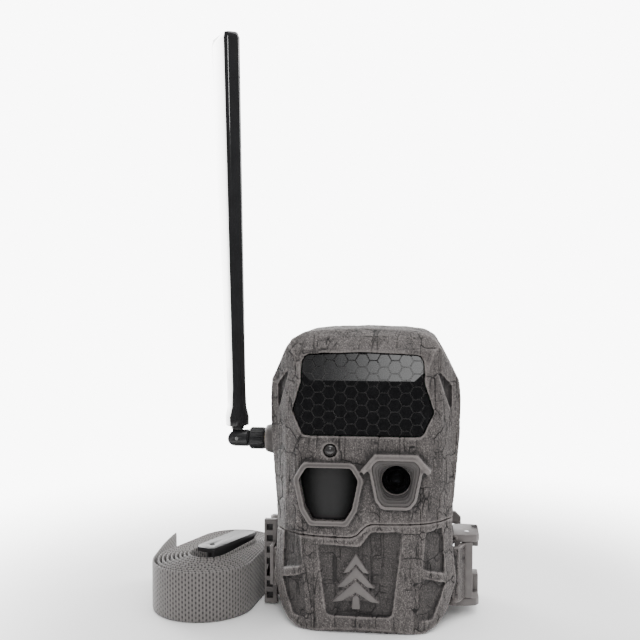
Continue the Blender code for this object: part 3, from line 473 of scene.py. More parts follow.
def drawn_in(points, distance):
    """A closed outline drawn in by distance on every side."""
    area = sum(a[0] * b[1] - b[0] * a[1] for a, b in zip(points, points[1:] + points[:1]))
    turn = 1 if area > 0 else -1
    made = []
    for before, here, after in zip(points[-1:] + points[:-1], points, points[1:] + points[:1]):
        first = (Vector(here) - Vector(before)).normalized()
        second = (Vector(after) - Vector(here)).normalized()
        normal = Vector((-first.y - second.y, first.x + second.x)) * turn
        made.append(tuple(Vector(here) + normal * (2 * distance / normal.length_squared)))
    return made


def rounded(points, radius, steps=4):
    """A closed outline with its corners rounded off."""
    made = []
    for before, here, after in zip(points[-1:] + points[:-1], points, points[1:] + points[:1]):
        here = Vector(here)
        back, ahead = Vector(before) - here, Vector(after) - here
        half = back.angle(ahead) / 2
        if half > math.radians(84):
            made.append(tuple(here))
            continue
        reach = min(radius / math.tan(half), 0.45 * back.length, 0.45 * ahead.length)
        first, last = here + back.normalized() * reach, here + ahead.normalized() * reach
        for i in range(steps + 1):
            t = i / steps
            made.append(tuple(first * (1 - t) ** 2 + here * (2 * t * (1 - t)) + last * t ** 2))
    return made


def plate(outline, low, high):
    """A closed outline in X and Z, in millimetres, given thickness along Y."""
    body = bmesh.new()
    face = body.faces.new([body.verts.new((x * MM, low * MM, z * MM)) for x, z in outline])
    moved_up = bmesh.ops.extrude_face_region(body, geom=[face])["geom"]
    corners = [v for v in moved_up if isinstance(v, bmesh.types.BMVert)]
    bmesh.ops.translate(body, verts=corners, vec=(0, (high - low) * MM, 0))
    bmesh.ops.recalc_face_normals(body, faces=body.faces)
    return body


def loft(rings):
    """A skin over rings that each hold the same number of points."""
    body = bmesh.new()
    rows = [[body.verts.new(place) for place in ring] for ring in rings]
    for lower, upper in zip(rows, rows[1:]):
        for i in range(len(lower)):
            j = (i + 1) % len(lower)
            body.faces.new((lower[i], lower[j], upper[j], upper[i]))
    bmesh.ops.recalc_face_normals(body, faces=body.faces)
    return body


def turned(profile, steps):
    """A turned shape about Z from its profile of radius and height in millimetres, from axis to axis."""
    body = bmesh.new()
    ends = [body.verts.new((0, 0, profile[0][1] * MM)), body.verts.new((0, 0, profile[-1][1] * MM))]
    ways = [(math.cos(math.tau * i / steps), math.sin(math.tau * i / steps)) for i in range(steps)]
    rows = [
        [body.verts.new((radius * MM * x, radius * MM * y, height * MM)) for x, y in ways]
        for radius, height in profile[1:-1]
    ]
    for i in range(steps):
        j = (i + 1) % steps
        body.faces.new((ends[0], rows[0][i], rows[0][j]))
        body.faces.new((ends[1], rows[-1][j], rows[-1][i]))
        for lower, upper in zip(rows, rows[1:]):
            body.faces.new((lower[i], upper[i], upper[j], lower[j]))
    bmesh.ops.recalc_face_normals(body, faces=body.faces)
    return body


def eased(mesh, width, segments=2, angle=32):
    """The mesh with the edges sharper than an angle rounded."""
    made = scratch("rounding", mesh)
    bevel = made.modifiers.new("edges", "BEVEL")
    bevel.width = width
    bevel.segments = segments
    bevel.limit_method = "ANGLE"
    bevel.angle_limit = math.radians(angle)
    return evaluated(made)


def cut_by(mesh, cutter, operation, crossing=False):
    """The mesh after an exact cut by another mesh."""
    made, blade = scratch("worked", mesh), scratch("cutter", cutter)
    cut = made.modifiers.new("cut", "BOOLEAN")
    cut.operation = operation
    cut.solver = "EXACT"
    cut.use_self = crossing
    cut.object = blade
    result = evaluated(made)
    bpy.data.objects.remove(blade)
    return result


def sliced(body, place, normal):
    """Cuts every face of a form along a plane."""
    geometry = body.verts[:] + body.edges[:] + body.faces[:]
    bmesh.ops.bisect_plane(body, geom=geometry, plane_co=place, plane_no=normal)


def softened(name, node, material, body, width=None, segments=2, dark=None):
    """A CAD node with its flat faces joined up and its edges rounded."""
    form = merged(node)
    bmesh.ops.dissolve_limit(form, angle_limit=math.radians(1.5), verts=form.verts, edges=form.edges)
    mesh = eased(mesh_of(form), width or bpy.context.scene.trail_plastic.bevel, segments)
    # dark gives where the piece gets painted shade.
    if dark:
        set_attribute(mesh, "painted_shade", dark(places_of(mesh)))
    piece(name, mesh, material, body, [node], 30)


def turned_at(node, profile, steps):
    """A turned shape in a CAD node's place, with its axis along Y and its front where the node's front is."""
    low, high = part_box(node)
    form = turned(profile, steps)
    place = Vector(((low.x + high.x) / 2, low.y, (low.z + high.z) / 2))
    form.transform(Matrix.Translation(place) @ Matrix.Rotation(math.radians(90), 4, "X"))
    return mesh_of(form)


# ---------------------------------------------------------------- geometry node trees

def tree_of(name, sockets):
    """A geometry tree with named inputs, and its graph."""
    tree = bpy.data.node_groups.new(name, "GeometryNodeTree")
    tree.interface.new_socket("Geometry", in_out="INPUT", socket_type="NodeSocketGeometry")
    for label, value in sockets.items():
        kind = "NodeSocketInt" if isinstance(value, int) else "NodeSocketFloat"
        tree.interface.new_socket(label, in_out="INPUT", socket_type=kind).default_value = value
    tree.interface.new_socket("Geometry", in_out="OUTPUT", socket_type="NodeSocketGeometry")
    graph = Graph(tree)
    entry = tree.nodes.new("NodeGroupInput")
    graph.inputs = {s.name: Value(graph, s) for s in entry.outputs if s.name}
    return graph


def end_tree(graph, geometry, material):
    real = graph.node("GeometryNodeRealizeInstances", {}, {0: geometry})
    painted = graph.node("GeometryNodeSetMaterial", {}, {"Geometry": real, "Material": material})
    out = graph.tree.nodes.new("NodeGroupOutput")
    graph.tree.links.new(painted.socket, out.inputs[0])
    return graph.tree


def run_tree(tree, mesh, values):
    """The mesh after the tree has worked on it, with the tree's inputs set by name."""
    obj = scratch("worked", mesh)
    step = obj.modifiers.new("nodes", "NODES")
    step.node_group = tree
    for item in tree.interface.items_tree:
        if item.in_out == "INPUT" and item.name in values:
            step[item.identifier] = values[item.name]
    return evaluated(obj)


def bark_tree(material):
    """Presses the bark's cracks and grain into a shell along its normals."""
    settings = bpy.context.scene.trail_bark
    graph = tree_of("bark relief", {"Crack depth": 0.0004, "Grain depth": 0.0001})
    place = graph.node("GeometryNodeInputPosition")
    normal = graph.node("GeometryNodeInputNormal")
    plain = graph.node("GeometryNodeInputNamedAttribute", {"data_type": "FLOAT"}, {"Name": "plain"})
    cracks, grain, _ = bark_field(graph, place, settings)
    height = grain * graph.inputs["Grain depth"] - cracks * graph.inputs["Crack depth"]
    height = (height - graph.inputs["Grain depth"]) * (1 - plain)
    offset = graph.node("ShaderNodeVectorMath", {"operation": "SCALE"}, {0: normal, "Scale": height})
    values = {"Geometry": graph.inputs["Geometry"], "Offset": offset}
    return end_tree(graph, graph.node("GeometryNodeSetPosition", {}, values), material)


def scatter_tree(name, material):
    """Sets one copy of a mesh at each point of another, which the Copies object holds."""
    graph = tree_of(name, {"Scale": 1.0})
    graph.tree.interface.new_socket("Copies", in_out="INPUT", socket_type="NodeSocketObject")
    copies = graph.tree.nodes[0].outputs["Copies"]
    source = graph.node("GeometryNodeObjectInfo", {}, {"Object": Value(graph, copies)}, "Geometry")
    turn = graph.node("GeometryNodeInputNamedAttribute", {"data_type": "FLOAT_VECTOR"}, {"Name": "turn"})
    scale = graph.node("ShaderNodeCombineXYZ", {}, {i: graph.inputs["Scale"] for i in range(3)})
    values = {"Points": graph.inputs["Geometry"], "Instance": source, "Rotation": turn, "Scale": scale}
    return end_tree(graph, graph.node("GeometryNodeInstanceOnPoints", {}, values), material)


def scattered(shape, places, turns, material):
    """One mesh of the shape repeated at each place with its turn."""
    points = bpy.data.meshes.new("places")
    points.from_pydata([tuple(p) for p in places], [], [])
    attribute = points.attributes.new("turn", "FLOAT_VECTOR", "POINT")
    attribute.data.foreach_set("vector", [v for turn in turns for v in turn])
    source = scratch("one", shape)
    tree = scatter_tree("copies", material)
    mesh = run_tree(tree, points, {"Copies": source})
    bpy.data.objects.remove(source)
    return mesh


def hexagon_tree(material):
    """A field of raised hexagons in X and Y, with every other column half a step up."""
    inputs = {"Across": 0.006, "Groove": 0.0004, "Height": 0.0003, "Columns": 15, "Rows": 9}
    graph = tree_of("hexagons", inputs)
    across = graph.inputs["Across"]
    step = across * (math.sqrt(3) / 2)
    columns, rows = graph.inputs["Columns"], graph.inputs["Rows"]
    grid = graph.node("GeometryNodeMeshGrid", {}, {
        "Size X": step * (columns - 1), "Vertices X": columns,
        "Size Y": across * (rows - 1), "Vertices Y": rows,
    })
    place = graph.node("GeometryNodeInputPosition")
    x = graph.axis(place, "X")
    odd = (x / step + 100.5).math("FLOOR").math("MODULO", 2.0)
    lift = graph.node("ShaderNodeCombineXYZ", {}, {"Y": odd * across * 0.5})
    grid = graph.node("GeometryNodeSetPosition", {}, {"Geometry": grid, "Offset": lift})
    radius = (across - graph.inputs["Groove"]) / math.sqrt(3)
    tile = graph.node("GeometryNodeMeshCircle", {"fill_type": "NGON"}, {"Vertices": 6, "Radius": radius})
    wall = graph.tree.nodes.new("GeometryNodeExtrudeMesh")
    graph.tree.links.new(tile.socket, wall.inputs["Mesh"])
    graph.tree.links.new(graph.inputs["Height"].socket, wall.inputs["Offset Scale"])
    shrink = graph.node("GeometryNodeScaleElements", {}, {
        "Geometry": Value(graph, wall.outputs["Mesh"]), "Selection": Value(graph, wall.outputs["Top"]),
        "Scale": 0.94,
    })
    tiles = graph.node("GeometryNodeInstanceOnPoints", {}, {"Points": grid, "Instance": shrink})
    return end_tree(graph, tiles, material)


def rib_tree(material):
    """Ribs round an axis: a small bar repeated on a circle in Y and Z."""
    inputs = {"Count": 28, "Radius": 0.0055, "Length": 0.006, "Width": 0.0006}
    graph = tree_of("ribs", inputs)
    values = {"Vertices": graph.inputs["Count"], "Radius": graph.inputs["Radius"]}
    circle = graph.node("GeometryNodeMeshCircle", {}, values)
    place = graph.node("GeometryNodeInputPosition")
    turn = graph.node("FunctionNodeAlignRotationToVector", {"axis": "X"}, {"Vector": place})
    size = graph.node("ShaderNodeCombineXYZ", {}, {
        "X": graph.inputs["Width"], "Y": graph.inputs["Width"], "Z": graph.inputs["Length"],
    })
    bar = graph.node("GeometryNodeMeshCube", {}, {"Size": size})
    values = {"Points": circle, "Instance": bar, "Rotation": turn}
    bars = graph.node("GeometryNodeInstanceOnPoints", {}, values)
    return end_tree(graph, bars, material)


# ---------------------------------------------------------------- shapes shared by the operators

CREASE_Z = 122.31
PANE_FLAT_X = 25.2
WINDOW_MIDDLE_Z = 0.1136
TILE_PLANE_Y = -0.033
TILE_HEIGHT = 0.00028
TILE_SUNK = 0.00004
WINDOW = [(0, 135.8), (27.5, 134.7), (29.7, 131.5), (29.9, 121.5), (34.6, 107), (29, 95.5)]
SENSOR_X = -16.0
SENSOR_Z = 67.5
SENSOR_HALF_HEIGHT = 13
SENSOR_CURVE = 24
SENSOR_AXIS_Y = -8.6
SENSOR = [(10.8, 80.4), (14.3, 74.5), (11.4, 60.7), (7.8, 54.8)]
LENS = (16.5, 74.3)
LENS_HOLE_R = 7.25
SURROUND_POINTS = 96
LENS_FRAME = [(9.5, 85.6), (12.9, 81.5), (9.6, 65.4), (6.6, 61.4)]
BROW = [(10.2, 87.6), (17, 79.6), (15.2, 77.6), (9.2, 84.6)]
JACK = (-68.0, 2.0, 88.0)
NUT_X = -57.3
HINGE_LOW, HINGE_HIGH = 8.6, 37.2
HINGE_ARMS = [(4.6, 8.3, 4.6, 17.4), (37.5, 41.2, 32.2, 41.2)]
TREE = [
    [(0, 26.4), (6.2, 16.8), (3.4, 17.4), (0, 21.4), (-3.4, 17.4), (-6.2, 16.8)],
    [(0, 20.0), (9.0, 9.8), (5.4, 10.2), (0, 14.8), (-5.4, 10.2), (-9.0, 9.8)],
    [(0, 13.2), (11.4, 2.6), (7.0, 3.2), (0, 7.6), (-7.0, 3.2), (-11.4, 2.6)],
    [(0, 6.2), (1.6, 5.0), (1.9, -0.6), (-1.9, -0.6), (-1.6, 5.0)],
]
TREE_PLACE = (-2.6, 12.4)
PANEL = [(-21.6, 43), (-0.6, 42.2), (4.6, 49.4), (19.8, 50), (14.6, 8.4), (-17, 8.4)]
PANEL_FLOOR = -33.2
RAIL_POCKETS = [
    [(36.2, 127.5), (43.2, 119), (43.4, 105), (38.4, 120)],
    [(31, 49), (38.8, 50.4), (40.2, 27.4), (29.4, 31.6)],
    [(28.6, 27.4), (40.6, 22.4), (34.2, 6.4), (27.2, 6.4)],
]
EYE_PLACE = (0.0297, -0.458, 0.166)
EYE_DIP, EYE_TURN = 1.93, 6.7
COIL_FRONT = (-84.6, -3.8, 26.2)
COIL_BACK = (-76.0, 31.0, 21.5)
BUCKLE = (-77.5, 15.0)
BUCKLE_TURN = math.radians(66)
EYE_FRONT = ((-10.8, -2.5), 10.9)
EYE_BACK = ((11.6, -1.7), 10.9)
FIRST_TURN = 0.45
TAIL = [(-113.0, 40.2), (-113.4, 28.2), (-113.2, 16.2), (-112.4, 5.0)]
BAR_LOOP = [(22.2, -3.5), (20.7, -5.6), (18.4, -5.9), (15.4, -4.9), (13.7, -2.9), (14.0, -0.4), (16.2, 0.7)]


def painted_hollow_shade(places):
    """The floors of the door's panel and of the pockets beside it, which get painted shade."""
    x, y, z = places.T / MM
    low = inside(x, z, PANEL) & (y > PANEL_FLOOR - 0.9) & (y < -20)
    for outline in RAIL_POCKETS:
        low |= inside(abs(x), z, outline) & (y < -10)
    return low


def plain_front(places):
    """Where the front shell is smooth: the sensor's frame, the lens's frame and the brow over it."""
    x, y, z = places.T / MM
    sensor = inside(x, z, drawn_in(moved(closed(SENSOR), SENSOR_X), -2.9)) & (y < -35.7)
    lens = inside(x, z, drawn_in(moved(closed(LENS_FRAME), LENS[0]), -0.7)) & (y < -35.5)
    lens |= inside(x, z, drawn_in(moved(closed(LENS_FRAME), LENS[0]), 1.3)) & (y < -28)
    band = [(-px, pz) for px, pz in reversed(BROW[:2])] + BROW + [(-px, pz) for px, pz in reversed(BROW[2:])]
    brow = inside(x, z, drawn_in(moved(band, LENS[0]), -0.4)) & (y < -35.4)
    return np.maximum(sensor | lens, 0.55 * brow)


def plain_door(places):
    """Where the door's bark fades: its hinge leaf."""
    x, y, _ = places.T / MM
    return 0.35 * ((x > 45.6) & (y > -11.5))


def plain_rear(places):
    """Where the rear shell is smooth: the hinge arms, the latch ears and the antenna's boss."""
    x, y, z = places.T / MM
    arms = (x > 47.5) & (z < 47) & (y < 12)
    ears = (x < -47.5) & (z < 47)
    boss = (x < -47.2) & (np.hypot(y - JACK[1], z - JACK[2]) < 9)
    return arms | ears | boss


def shell(name, node, body, voxel, plain, tree, material, rounds=10):
    """A moulded shell: the CAD form softened, its smooth and worn areas and its painted shade marked, and
    bark pressed in.
    """
    made = scratch("form", mesh_of(merged(node)))
    remesh = made.modifiers.new("voxels", "REMESH")
    remesh.mode = "VOXEL"
    remesh.voxel_size = voxel * 1
    soften = made.modifiers.new("soften", "SMOOTH")
    soften.factor = 0.5
    soften.iterations = 3
    mesh = evaluated(made)
    set_attribute(mesh, "plain", plain(places_of(mesh)))
    set_attribute(mesh, "recess", painted_hollow_shade(places_of(mesh)))
    set_wear(mesh, rounds, 0.00015, 7)
    settings = bpy.context.scene.trail_bark
    depths = {"Crack depth": settings.crack_depth, "Grain depth": settings.grain_depth}
    mesh = run_tree(tree, mesh, depths)
    return piece(name, mesh, material, body, [node], 0)


def dress(material, *names):
    """Gives CAD nodes that keep their shape a material."""
    for name in names:
        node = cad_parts[name]
        if not node.material_slots:
            node.data.materials.append(material)
        for holder in node.material_slots:
            holder.material = material


def numbered(name, count):
    return [f"{name}_{number}" for number in range(1, count + 1)]


def ring_radii(outline, centre, count):
    """The distance from a centre to a closed outline round it, in count directions."""
    radii = []
    for i in range(count):
        ray = Vector((math.cos(math.tau * i / count), math.sin(math.tau * i / count)))
        best = None
        for a, b in zip(outline, outline[1:] + outline[:1]):
            a, b = Vector(a) - Vector(centre), Vector(b) - Vector(centre)
            edge = b - a
            across = ray.x * edge.y - ray.y * edge.x
            if abs(across) < 1e-9:
                continue
            reach = (a.x * edge.y - a.y * edge.x) / across
            along = (a.x * ray.y - a.y * ray.x) / across
            if reach > 0 and -1e-6 <= along <= 1 + 1e-6:
                best = max(best or 0, reach)
        radii.append(best)
    return radii


class TRAIL_OT_shells(bpy.types.Operator):
    """Builds the front housing, the door and the rear housing with their bark"""

    bl_idname = "trail.shells"
    bl_label = "Shells"

    def execute(self, context):
        settings = context.scene.trail_bark
        material = bark_material()
        tree = bark_tree(material)
        shell("front_shell", "front_housing", "camera", settings.front_voxel, plain_front, tree, material)
        shell("door_shell", "lower_door", "door", settings.front_voxel, plain_door, tree, material)
        shell("rear_shell", "rear_housing", "camera", settings.rear_voxel, plain_rear, tree, material, 5)
        return {"FINISHED"}


class TRAIL_OT_window(bpy.types.Operator):
    """Builds the dark window and its field of raised hexagons"""

    bl_idname = "trail.window"
    bl_label = "Window"

    def execute(self, context):
        settings = context.scene.trail_plastic
        material = window_material()
        softened("flash_pane", "flash_window", material, "camera", 0.00015, 1)
        tree = hexagon_tree(material)
        values = {
            "Across": settings.hexagon, "Groove": settings.groove, "Height": TILE_HEIGHT,
            "Columns": 17, "Rows": 9,
        }
        tiles = run_tree(tree, bpy.data.meshes.new("start"), values)
        middle = Matrix.Translation((0, TILE_PLANE_Y, WINDOW_MIDDLE_Z))
        tiles.transform(middle @ Matrix.Rotation(math.radians(90), 4, "X"))
        body = bmesh.new()
        body.from_mesh(tiles)
        bmesh.ops.remove_doubles(body, verts=body.verts, dist=1e-6)
        outline = drawn_in(rounded(closed(WINDOW), 3), 0.55)
        mesh = cut_by(mesh_of(body), mesh_of(plate(outline, -60, 10)), "INTERSECT")
        body = bmesh.new()
        body.from_mesh(mesh)
        side, crease = PANE_FLAT_X * MM, CREASE_Z * MM
        sliced(body, (0, 0, crease), (0, 0, 1))
        for sign in (1, -1):
            sliced(body, (sign * side, 0, crease), (1, 0, 0))
            sliced(body, (sign * side, 0, crease), (-3.9 * sign, 0, 4.25))
        form = merged("flash_window")
        pane = BVHTree.FromBMesh(form)
        form.free()
        rim = body.verts.layers.float.new("rim")
        for corner in body.verts:
            x, y, z = corner.co
            hit = pane.ray_cast(Vector((x, -0.1, z)), Vector((0, 1, 0)))[0]
            if hit is None:
                hit = pane.find_nearest(Vector((x * 0.985, -0.04, z)))[0]
            # Points at a hexagon's foot carry the painted highlight of the lines between hexagons.
            foot = y - TILE_PLANE_Y > -0.0001
            corner[rim] = float(foot)
            corner.co.y = hit.y + (TILE_SUNK if foot else -TILE_HEIGHT)
        bmesh.ops.recalc_face_normals(body, faces=body.faces)
        piece("flash_hexagons", mesh_of(body), material, "camera", (), 8)
        return {"FINISHED"}


class TRAIL_OT_sensors(bpy.types.Operator):
    """Builds the curved motion lens and the status light"""

    bl_idname = "trail.sensors"
    bl_label = "Sensors"

    def execute(self, context):
        outline = drawn_in(moved(rounded(closed(SENSOR), 1.6), SENSOR_X), 0.3)
        body = plate(outline, -32, -30.8)
        for step in range(-26, 27):
            sliced(body, ((SENSOR_X + step * 0.54) * MM, 0, 0), (1, 0, 0))
        for corner in body.verts:
            across = corner.co.x / MM - SENSOR_X
            rise = (corner.co.z / MM - SENSOR_Z) / SENSOR_HALF_HEIGHT
            front = SENSOR_AXIS_Y - math.sqrt(SENSOR_CURVE ** 2 - across ** 2) + 0.5 * rise ** 2
            corner.co.y = (front if corner.co.y < -31.4 * MM else front + 1.2) * MM
        material = sensor_material()
        piece("motion_lens_cover", mesh_of(body), material, "camera", ["motion_lens"], 40)
        dress(metal_material("can metal", (0.42, 0.41, 0.40), 0.35), "motion_sensor")

        profile = [
            (0, 0), (0.55, -0.03), (1.1, -0.18), (1.7, -0.5), (2.25, -1.0), (2.7, -1.6), (3.0, -2.3),
            (3.1, -3.0), (3.1, -9), (0, -9),
        ]
        dome = turned_at("status_light", profile, 28)
        gloss = moulded_material("status dome", (0.03, 0.028, 0.028), 0.16, 1800, 0.000004, Coat_Weight=0.6)
        piece("status_dome", dome, gloss, "camera", ["status_light"], 45)
        return {"FINISHED"}


class TRAIL_OT_lens(bpy.types.Operator):
    """Builds the stepped surround of the lens and the glass in it"""

    bl_idname = "trail.lens"
    bl_label = "Lens"

    def execute(self, context):
        frame_line = moved(closed(LENS_FRAME), LENS[0])
        # How far each ring is drawn in, how round it is from 0 to 1, and its Y
        steps = [
            (1.2, 0.0, -33.35), (1.2, 0.0, -35.3), (1.3, 0.0, -35.45), (2.0, 0.08, -35.45),
            (2.15, 0.1, -35.3), (2.2, 0.12, -34.5), (2.3, 0.14, -34.4), (3.0, 0.25, -34.4),
            (3.1, 0.28, -34.25), (3.15, 0.32, -33.5), (3.2, 0.36, -33.4), (3.3, 0.55, -33.4),
            (3.3, 0.6, -33.25), (3.3, 0.68, -32.5), (3.3, 0.72, -32.4), (3.3, 0.88, -32.4),
            (3.3, 0.92, -32.25), (3.3, 1.0, -31.35), (3.3, 0.5, -31.35), (3.3, 0.1, -31.35),
            (3.3, 0.1, -33.35),
        ]
        rings = []
        for inset, share, y in steps:
            radii = ring_radii(rounded(drawn_in(frame_line, inset), 4.2, 8), LENS, SURROUND_POINTS)
            ring = []
            for i, radius in enumerate(radii):
                turn = math.tau * i / SURROUND_POINTS
                away = radius * (1 - share) + LENS_HOLE_R * share
                x, z = LENS[0] + away * math.cos(turn), LENS[1] + away * math.sin(turn)
                ring.append((x * MM, y * MM, z * MM))
            rings.append(ring)
        body = loft(rings + [rings[0]])
        bmesh.ops.remove_doubles(body, verts=body.verts, dist=1e-7)
        bmesh.ops.recalc_face_normals(body, faces=body.faces)
        mesh = mesh_of(body)
        set_wear(mesh, 1, 0.0002)
        plastic = context.scene.trail_plastic
        smooth = shader("lens surround", plastic.taupe, 0.55)
        depth = smooth.axis(smooth.place, "Y") * 1000
        speck = smooth.noise(smooth.place, (2600,) * 3, 2.0, 0.6)
        shadow = depth.ramp(-35.6, -31.6)
        lit, dim = shade(plastic.taupe, 0.66), shade(plastic.taupe, 0.20)
        tone = smooth.blend(shadow * 0.85 + speck * 0.1, lit, dim)
        edge = smooth.attribute("worn")
        tone = smooth.blend(edge * 0.5 * (1.2 - shadow), tone, shade(plastic.taupe, 1.0))
        feed(smooth, tone, 0.5 + speck * 0.12, speck, 0.00003, 0.6)
        piece("lens_surround", mesh, smooth.material, "camera", (), 30)

        glass = shader("cover glass", (0.30, 0.31, 0.33), 0.02, Transmission_Weight=1.0, IOR=1.18)
        dust = glass.noise(glass.place, (700,) * 3, 3.0, 0.6)
        feed(glass, None, 0.01 + dust.ramp(0.5, 0.9) * 0.05)
        dress(glass.material, "lens_cover", "infrared_filter")

        profile = [
            (0, 0), (1.0, -0.09), (2.0, -0.36), (2.9, -0.82), (3.6, -1.45), (4.1, -2.2), (4.1, -4.4),
            (0, -4.4),
        ]
        element = turned_at("front_element", profile, 40)
        tint = (0.006, 0.007, 0.010)
        coated = moulded_material("coated glass", tint, 0.05, 1500, 0.000002, Coat_Weight=1.0)
        piece("front_glass", element, coated, "camera", ["front_element"], 50)
        black = (0.008, 0.008, 0.009)
        barrel = moulded_material("barrel black", black, 0.5, 3000, 0.00002, Specular_IOR_Level=0.2)
        softened("lens_tube", "lens_barrel", barrel, "camera", 0.0002, 2)
        return {"FINISHED"}


def upright(outline, low, high, proud=0.12):
    """A closed outline in X and Y, in millimetres, given thickness along Z and let stand a little proud."""
    body = plate(drawn_in(outline, -proud), low - proud, high + proud)
    for corner in body.verts:
        corner.co.y, corner.co.z = corner.co.z, corner.co.y
    bmesh.ops.recalc_face_normals(body, faces=body.faces)
    return body


def bevelled(forms, width, segments=2, angle=32):
    """One mesh of several closed forms with their edges rounded."""
    body = bmesh.new()
    for form in forms:
        body.from_mesh(mesh_of(form))
    return eased(mesh_of(body), width, segments, angle)


class TRAIL_OT_hinge(bpy.types.Operator):
    """Builds the crisp faces of the hinge arms, their stop blocks and the door's hinge leaf"""

    bl_idname = "trail.hinge"
    bl_label = "Hinge"

    def execute(self, context):
        plastic = context.scene.trail_plastic
        material = moulded_material("hinge plastic", plastic.taupe, 0.5)
        forms = []
        for low, high, block_low, block_high in HINGE_ARMS:
            outline = [(44.8, -3.4), (51.6, -3.2), (56.4, -1.8), (57.9, 0.6), (58, 18), (50, 19), (44.8, 17)]
            forms.append(upright(outline, low, high))
            forms.append(upright([(54.4, 9), (58.0, 9), (58.0, 17.6), (54.4, 17.6)], block_low, block_high))
        piece("hinge_arms", bevelled(forms, 0.0005), material, "camera", (), 30)
        bar = [(50.9, -3.6), (54.5, -3.0), (54.6, 5.6), (49.2, 5.6), (49.2, -1.6)]
        forms = [upright(bar, HINGE_LOW + 0.1, HINGE_HIGH - 0.1)]
        piece("hinge_bar", bevelled(forms, 0.0006, 3), material, "door", (), 30)
        return {"FINISHED"}


class TRAIL_OT_emblem(bpy.types.Operator):
    """Builds the conifer emblem on the door"""

    bl_idname = "trail.emblem"
    bl_label = "Emblem"

    def execute(self, context):
        middle, foot = TREE_PLACE
        tiers = [
            plate([(x + middle, z + foot) for x, z in outline], PANEL_FLOOR - 1.2, PANEL_FLOOR + 0.2)
            for outline in TREE
        ]
        plastic = context.scene.trail_plastic
        material = moulded_material("emblem", [v * 0.95 for v in plastic.taupe], 0.5)
        piece("door_emblem", bevelled(tiers, 0.0003, 2, 30), material, "door", (), 30)
        return {"FINISHED"}


def latch_window_shade(places):
    """The floors of the latch's windows, which get painted shade."""
    x, y, _ = places.T / MM
    return (y > 2.6) & (y < 3.4) & (x > -52.7) & (x < -49.0)


class TRAIL_OT_latch(bpy.types.Operator):
    """Builds the side latch with its row of windows"""

    bl_idname = "trail.latch"
    bl_label = "Latch"

    def execute(self, context):
        plastic = context.scene.trail_plastic
        material = moulded_material("latch plastic", plastic.taupe, 0.5)
        # The floors of the latch's windows get painted shade.
        softened("latch", "side_latch", material, "latch", dark=latch_window_shade)
        return {"FINISHED"}


class TRAIL_OT_bracket(bpy.types.Operator):
    """Builds the tree bracket, its screws and the housing's screws"""

    bl_idname = "trail.bracket"
    bl_label = "Bracket and screws"

    def execute(self, context):
        plastic = context.scene.trail_plastic
        material = moulded_material("bracket plastic", [v * 0.85 for v in plastic.taupe], 0.55)
        softened("bracket", "tree_bracket", material, "camera", 0.0004)
        steel = metal_material("screw steel", (0.50, 0.49, 0.48), 0.3)
        for name, count in (("bracket_screw", 4), ("housing_screw", 4)):
            places, turns = [], []
            for node in numbered(name, count):
                low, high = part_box(node)
                places.append(((low.x + high.x) / 2, high.y, (low.z + high.z) / 2))
                turns.append((math.radians(-90), 0, 0))
            mesh = scattered(screw_shape(), places, turns, steel)
            piece(name + "s", mesh, steel, "camera", numbered(name, count), 35)
        dress(metal_material("thread brass", (0.55, 0.42, 0.20), 0.32), "tripod_insert")
        return {"FINISHED"}


def screw_shape():
    """A pan-head screw along Z with its head's top at the origin and a cross recess."""
    profile = [
        (0, 0), (1.4, -0.02), (2.1, -0.2), (2.6, -0.62), (2.85, -1.15), (2.85, -1.65), (1.25, -1.7),
        (1.2, -9.0), (0, -9.4),
    ]
    cross = bmesh.new()
    for wide, long in ((0.4, 1.55), (1.55, 0.4)):
        size = Matrix.Diagonal((wide * 2 * MM, long * 2 * MM, 2.0 * MM, 1))
        bmesh.ops.create_cube(cross, size=1, matrix=size)
    for corner in cross.verts:
        if corner.co.z < 0:
            corner.co.x *= 0.55
            corner.co.y *= 0.55
    return cut_by(mesh_of(turned(profile, 28)), mesh_of(cross), "DIFFERENCE", True)


def metal_material(name, base, roughness):
    """Bare metal with fine scratches and a little staining."""
    graph = shader(name, base, roughness, 1.0)
    scratch_lines = graph.noise(graph.place, (3000, 500, 3000), 4.0, 0.6)
    cloud = graph.noise(graph.place, (180,) * 3, 3.0)
    tone = graph.blend(cloud.ramp(0.35, 0.75), flat(base), shade(base, 0.7))
    return feed(graph, tone, roughness - 0.08 + scratch_lines * 0.25, scratch_lines, 0.000012, 0.5)


class TRAIL_OT_antenna(bpy.types.Operator):
    """Builds the antenna's blade, neck, knuckle and ribbed nut"""

    bl_idname = "trail.antenna"
    bl_label = "Antenna"

    def execute(self, context):
        black = context.scene.trail_plastic.black
        coat = {"Coat_Weight": 0.5, "Coat_Roughness": 0.08}
        gloss = moulded_material("antenna gloss", black, 0.16, 1500, 0.000006, **coat)
        satin = moulded_material("antenna satin", [v * 1.2 for v in black], 0.38)
        softened("blade", "antenna_blade", gloss, "blade", 0.0006, 3)
        softened("neck", "antenna_neck", satin, "blade", 0.0003)
        softened("knuckle", "antenna_knuckle", satin, "knuckle", 0.0003)

        values = {"Count": 30, "Radius": 0.00552, "Length": 0.0062, "Width": 0.00052}
        ribs = run_tree(rib_tree(satin), bpy.data.meshes.new("start"), values)
        middle = Matrix.Translation((NUT_X * MM, JACK[1] * MM, JACK[2] * MM))
        ribs.transform(middle @ Matrix.Rotation(math.radians(90), 4, "Y"))
        body = merged("coupling_nut")
        body.from_mesh(ribs)
        piece("ribbed_nut", mesh_of(body), satin, "nut", ["coupling_nut"], 30)

        dress(metal_material("jack brass", (0.55, 0.43, 0.22), 0.3), "antenna_jack")
        dress(metal_material("pin steel", (0.5, 0.5, 0.5), 0.3), "antenna_pin", "hinge_pin", "latch_pin")
        matt = moulded_material("blackened pin", (0.006, 0.006, 0.006), 0.75, Specular_IOR_Level=0.1)
        dress(matt, "buckle_pin")
        dress(moulded_material("cable jacket", (0.015, 0.015, 0.015), 0.5), "antenna_cable")
        return {"FINISHED"}


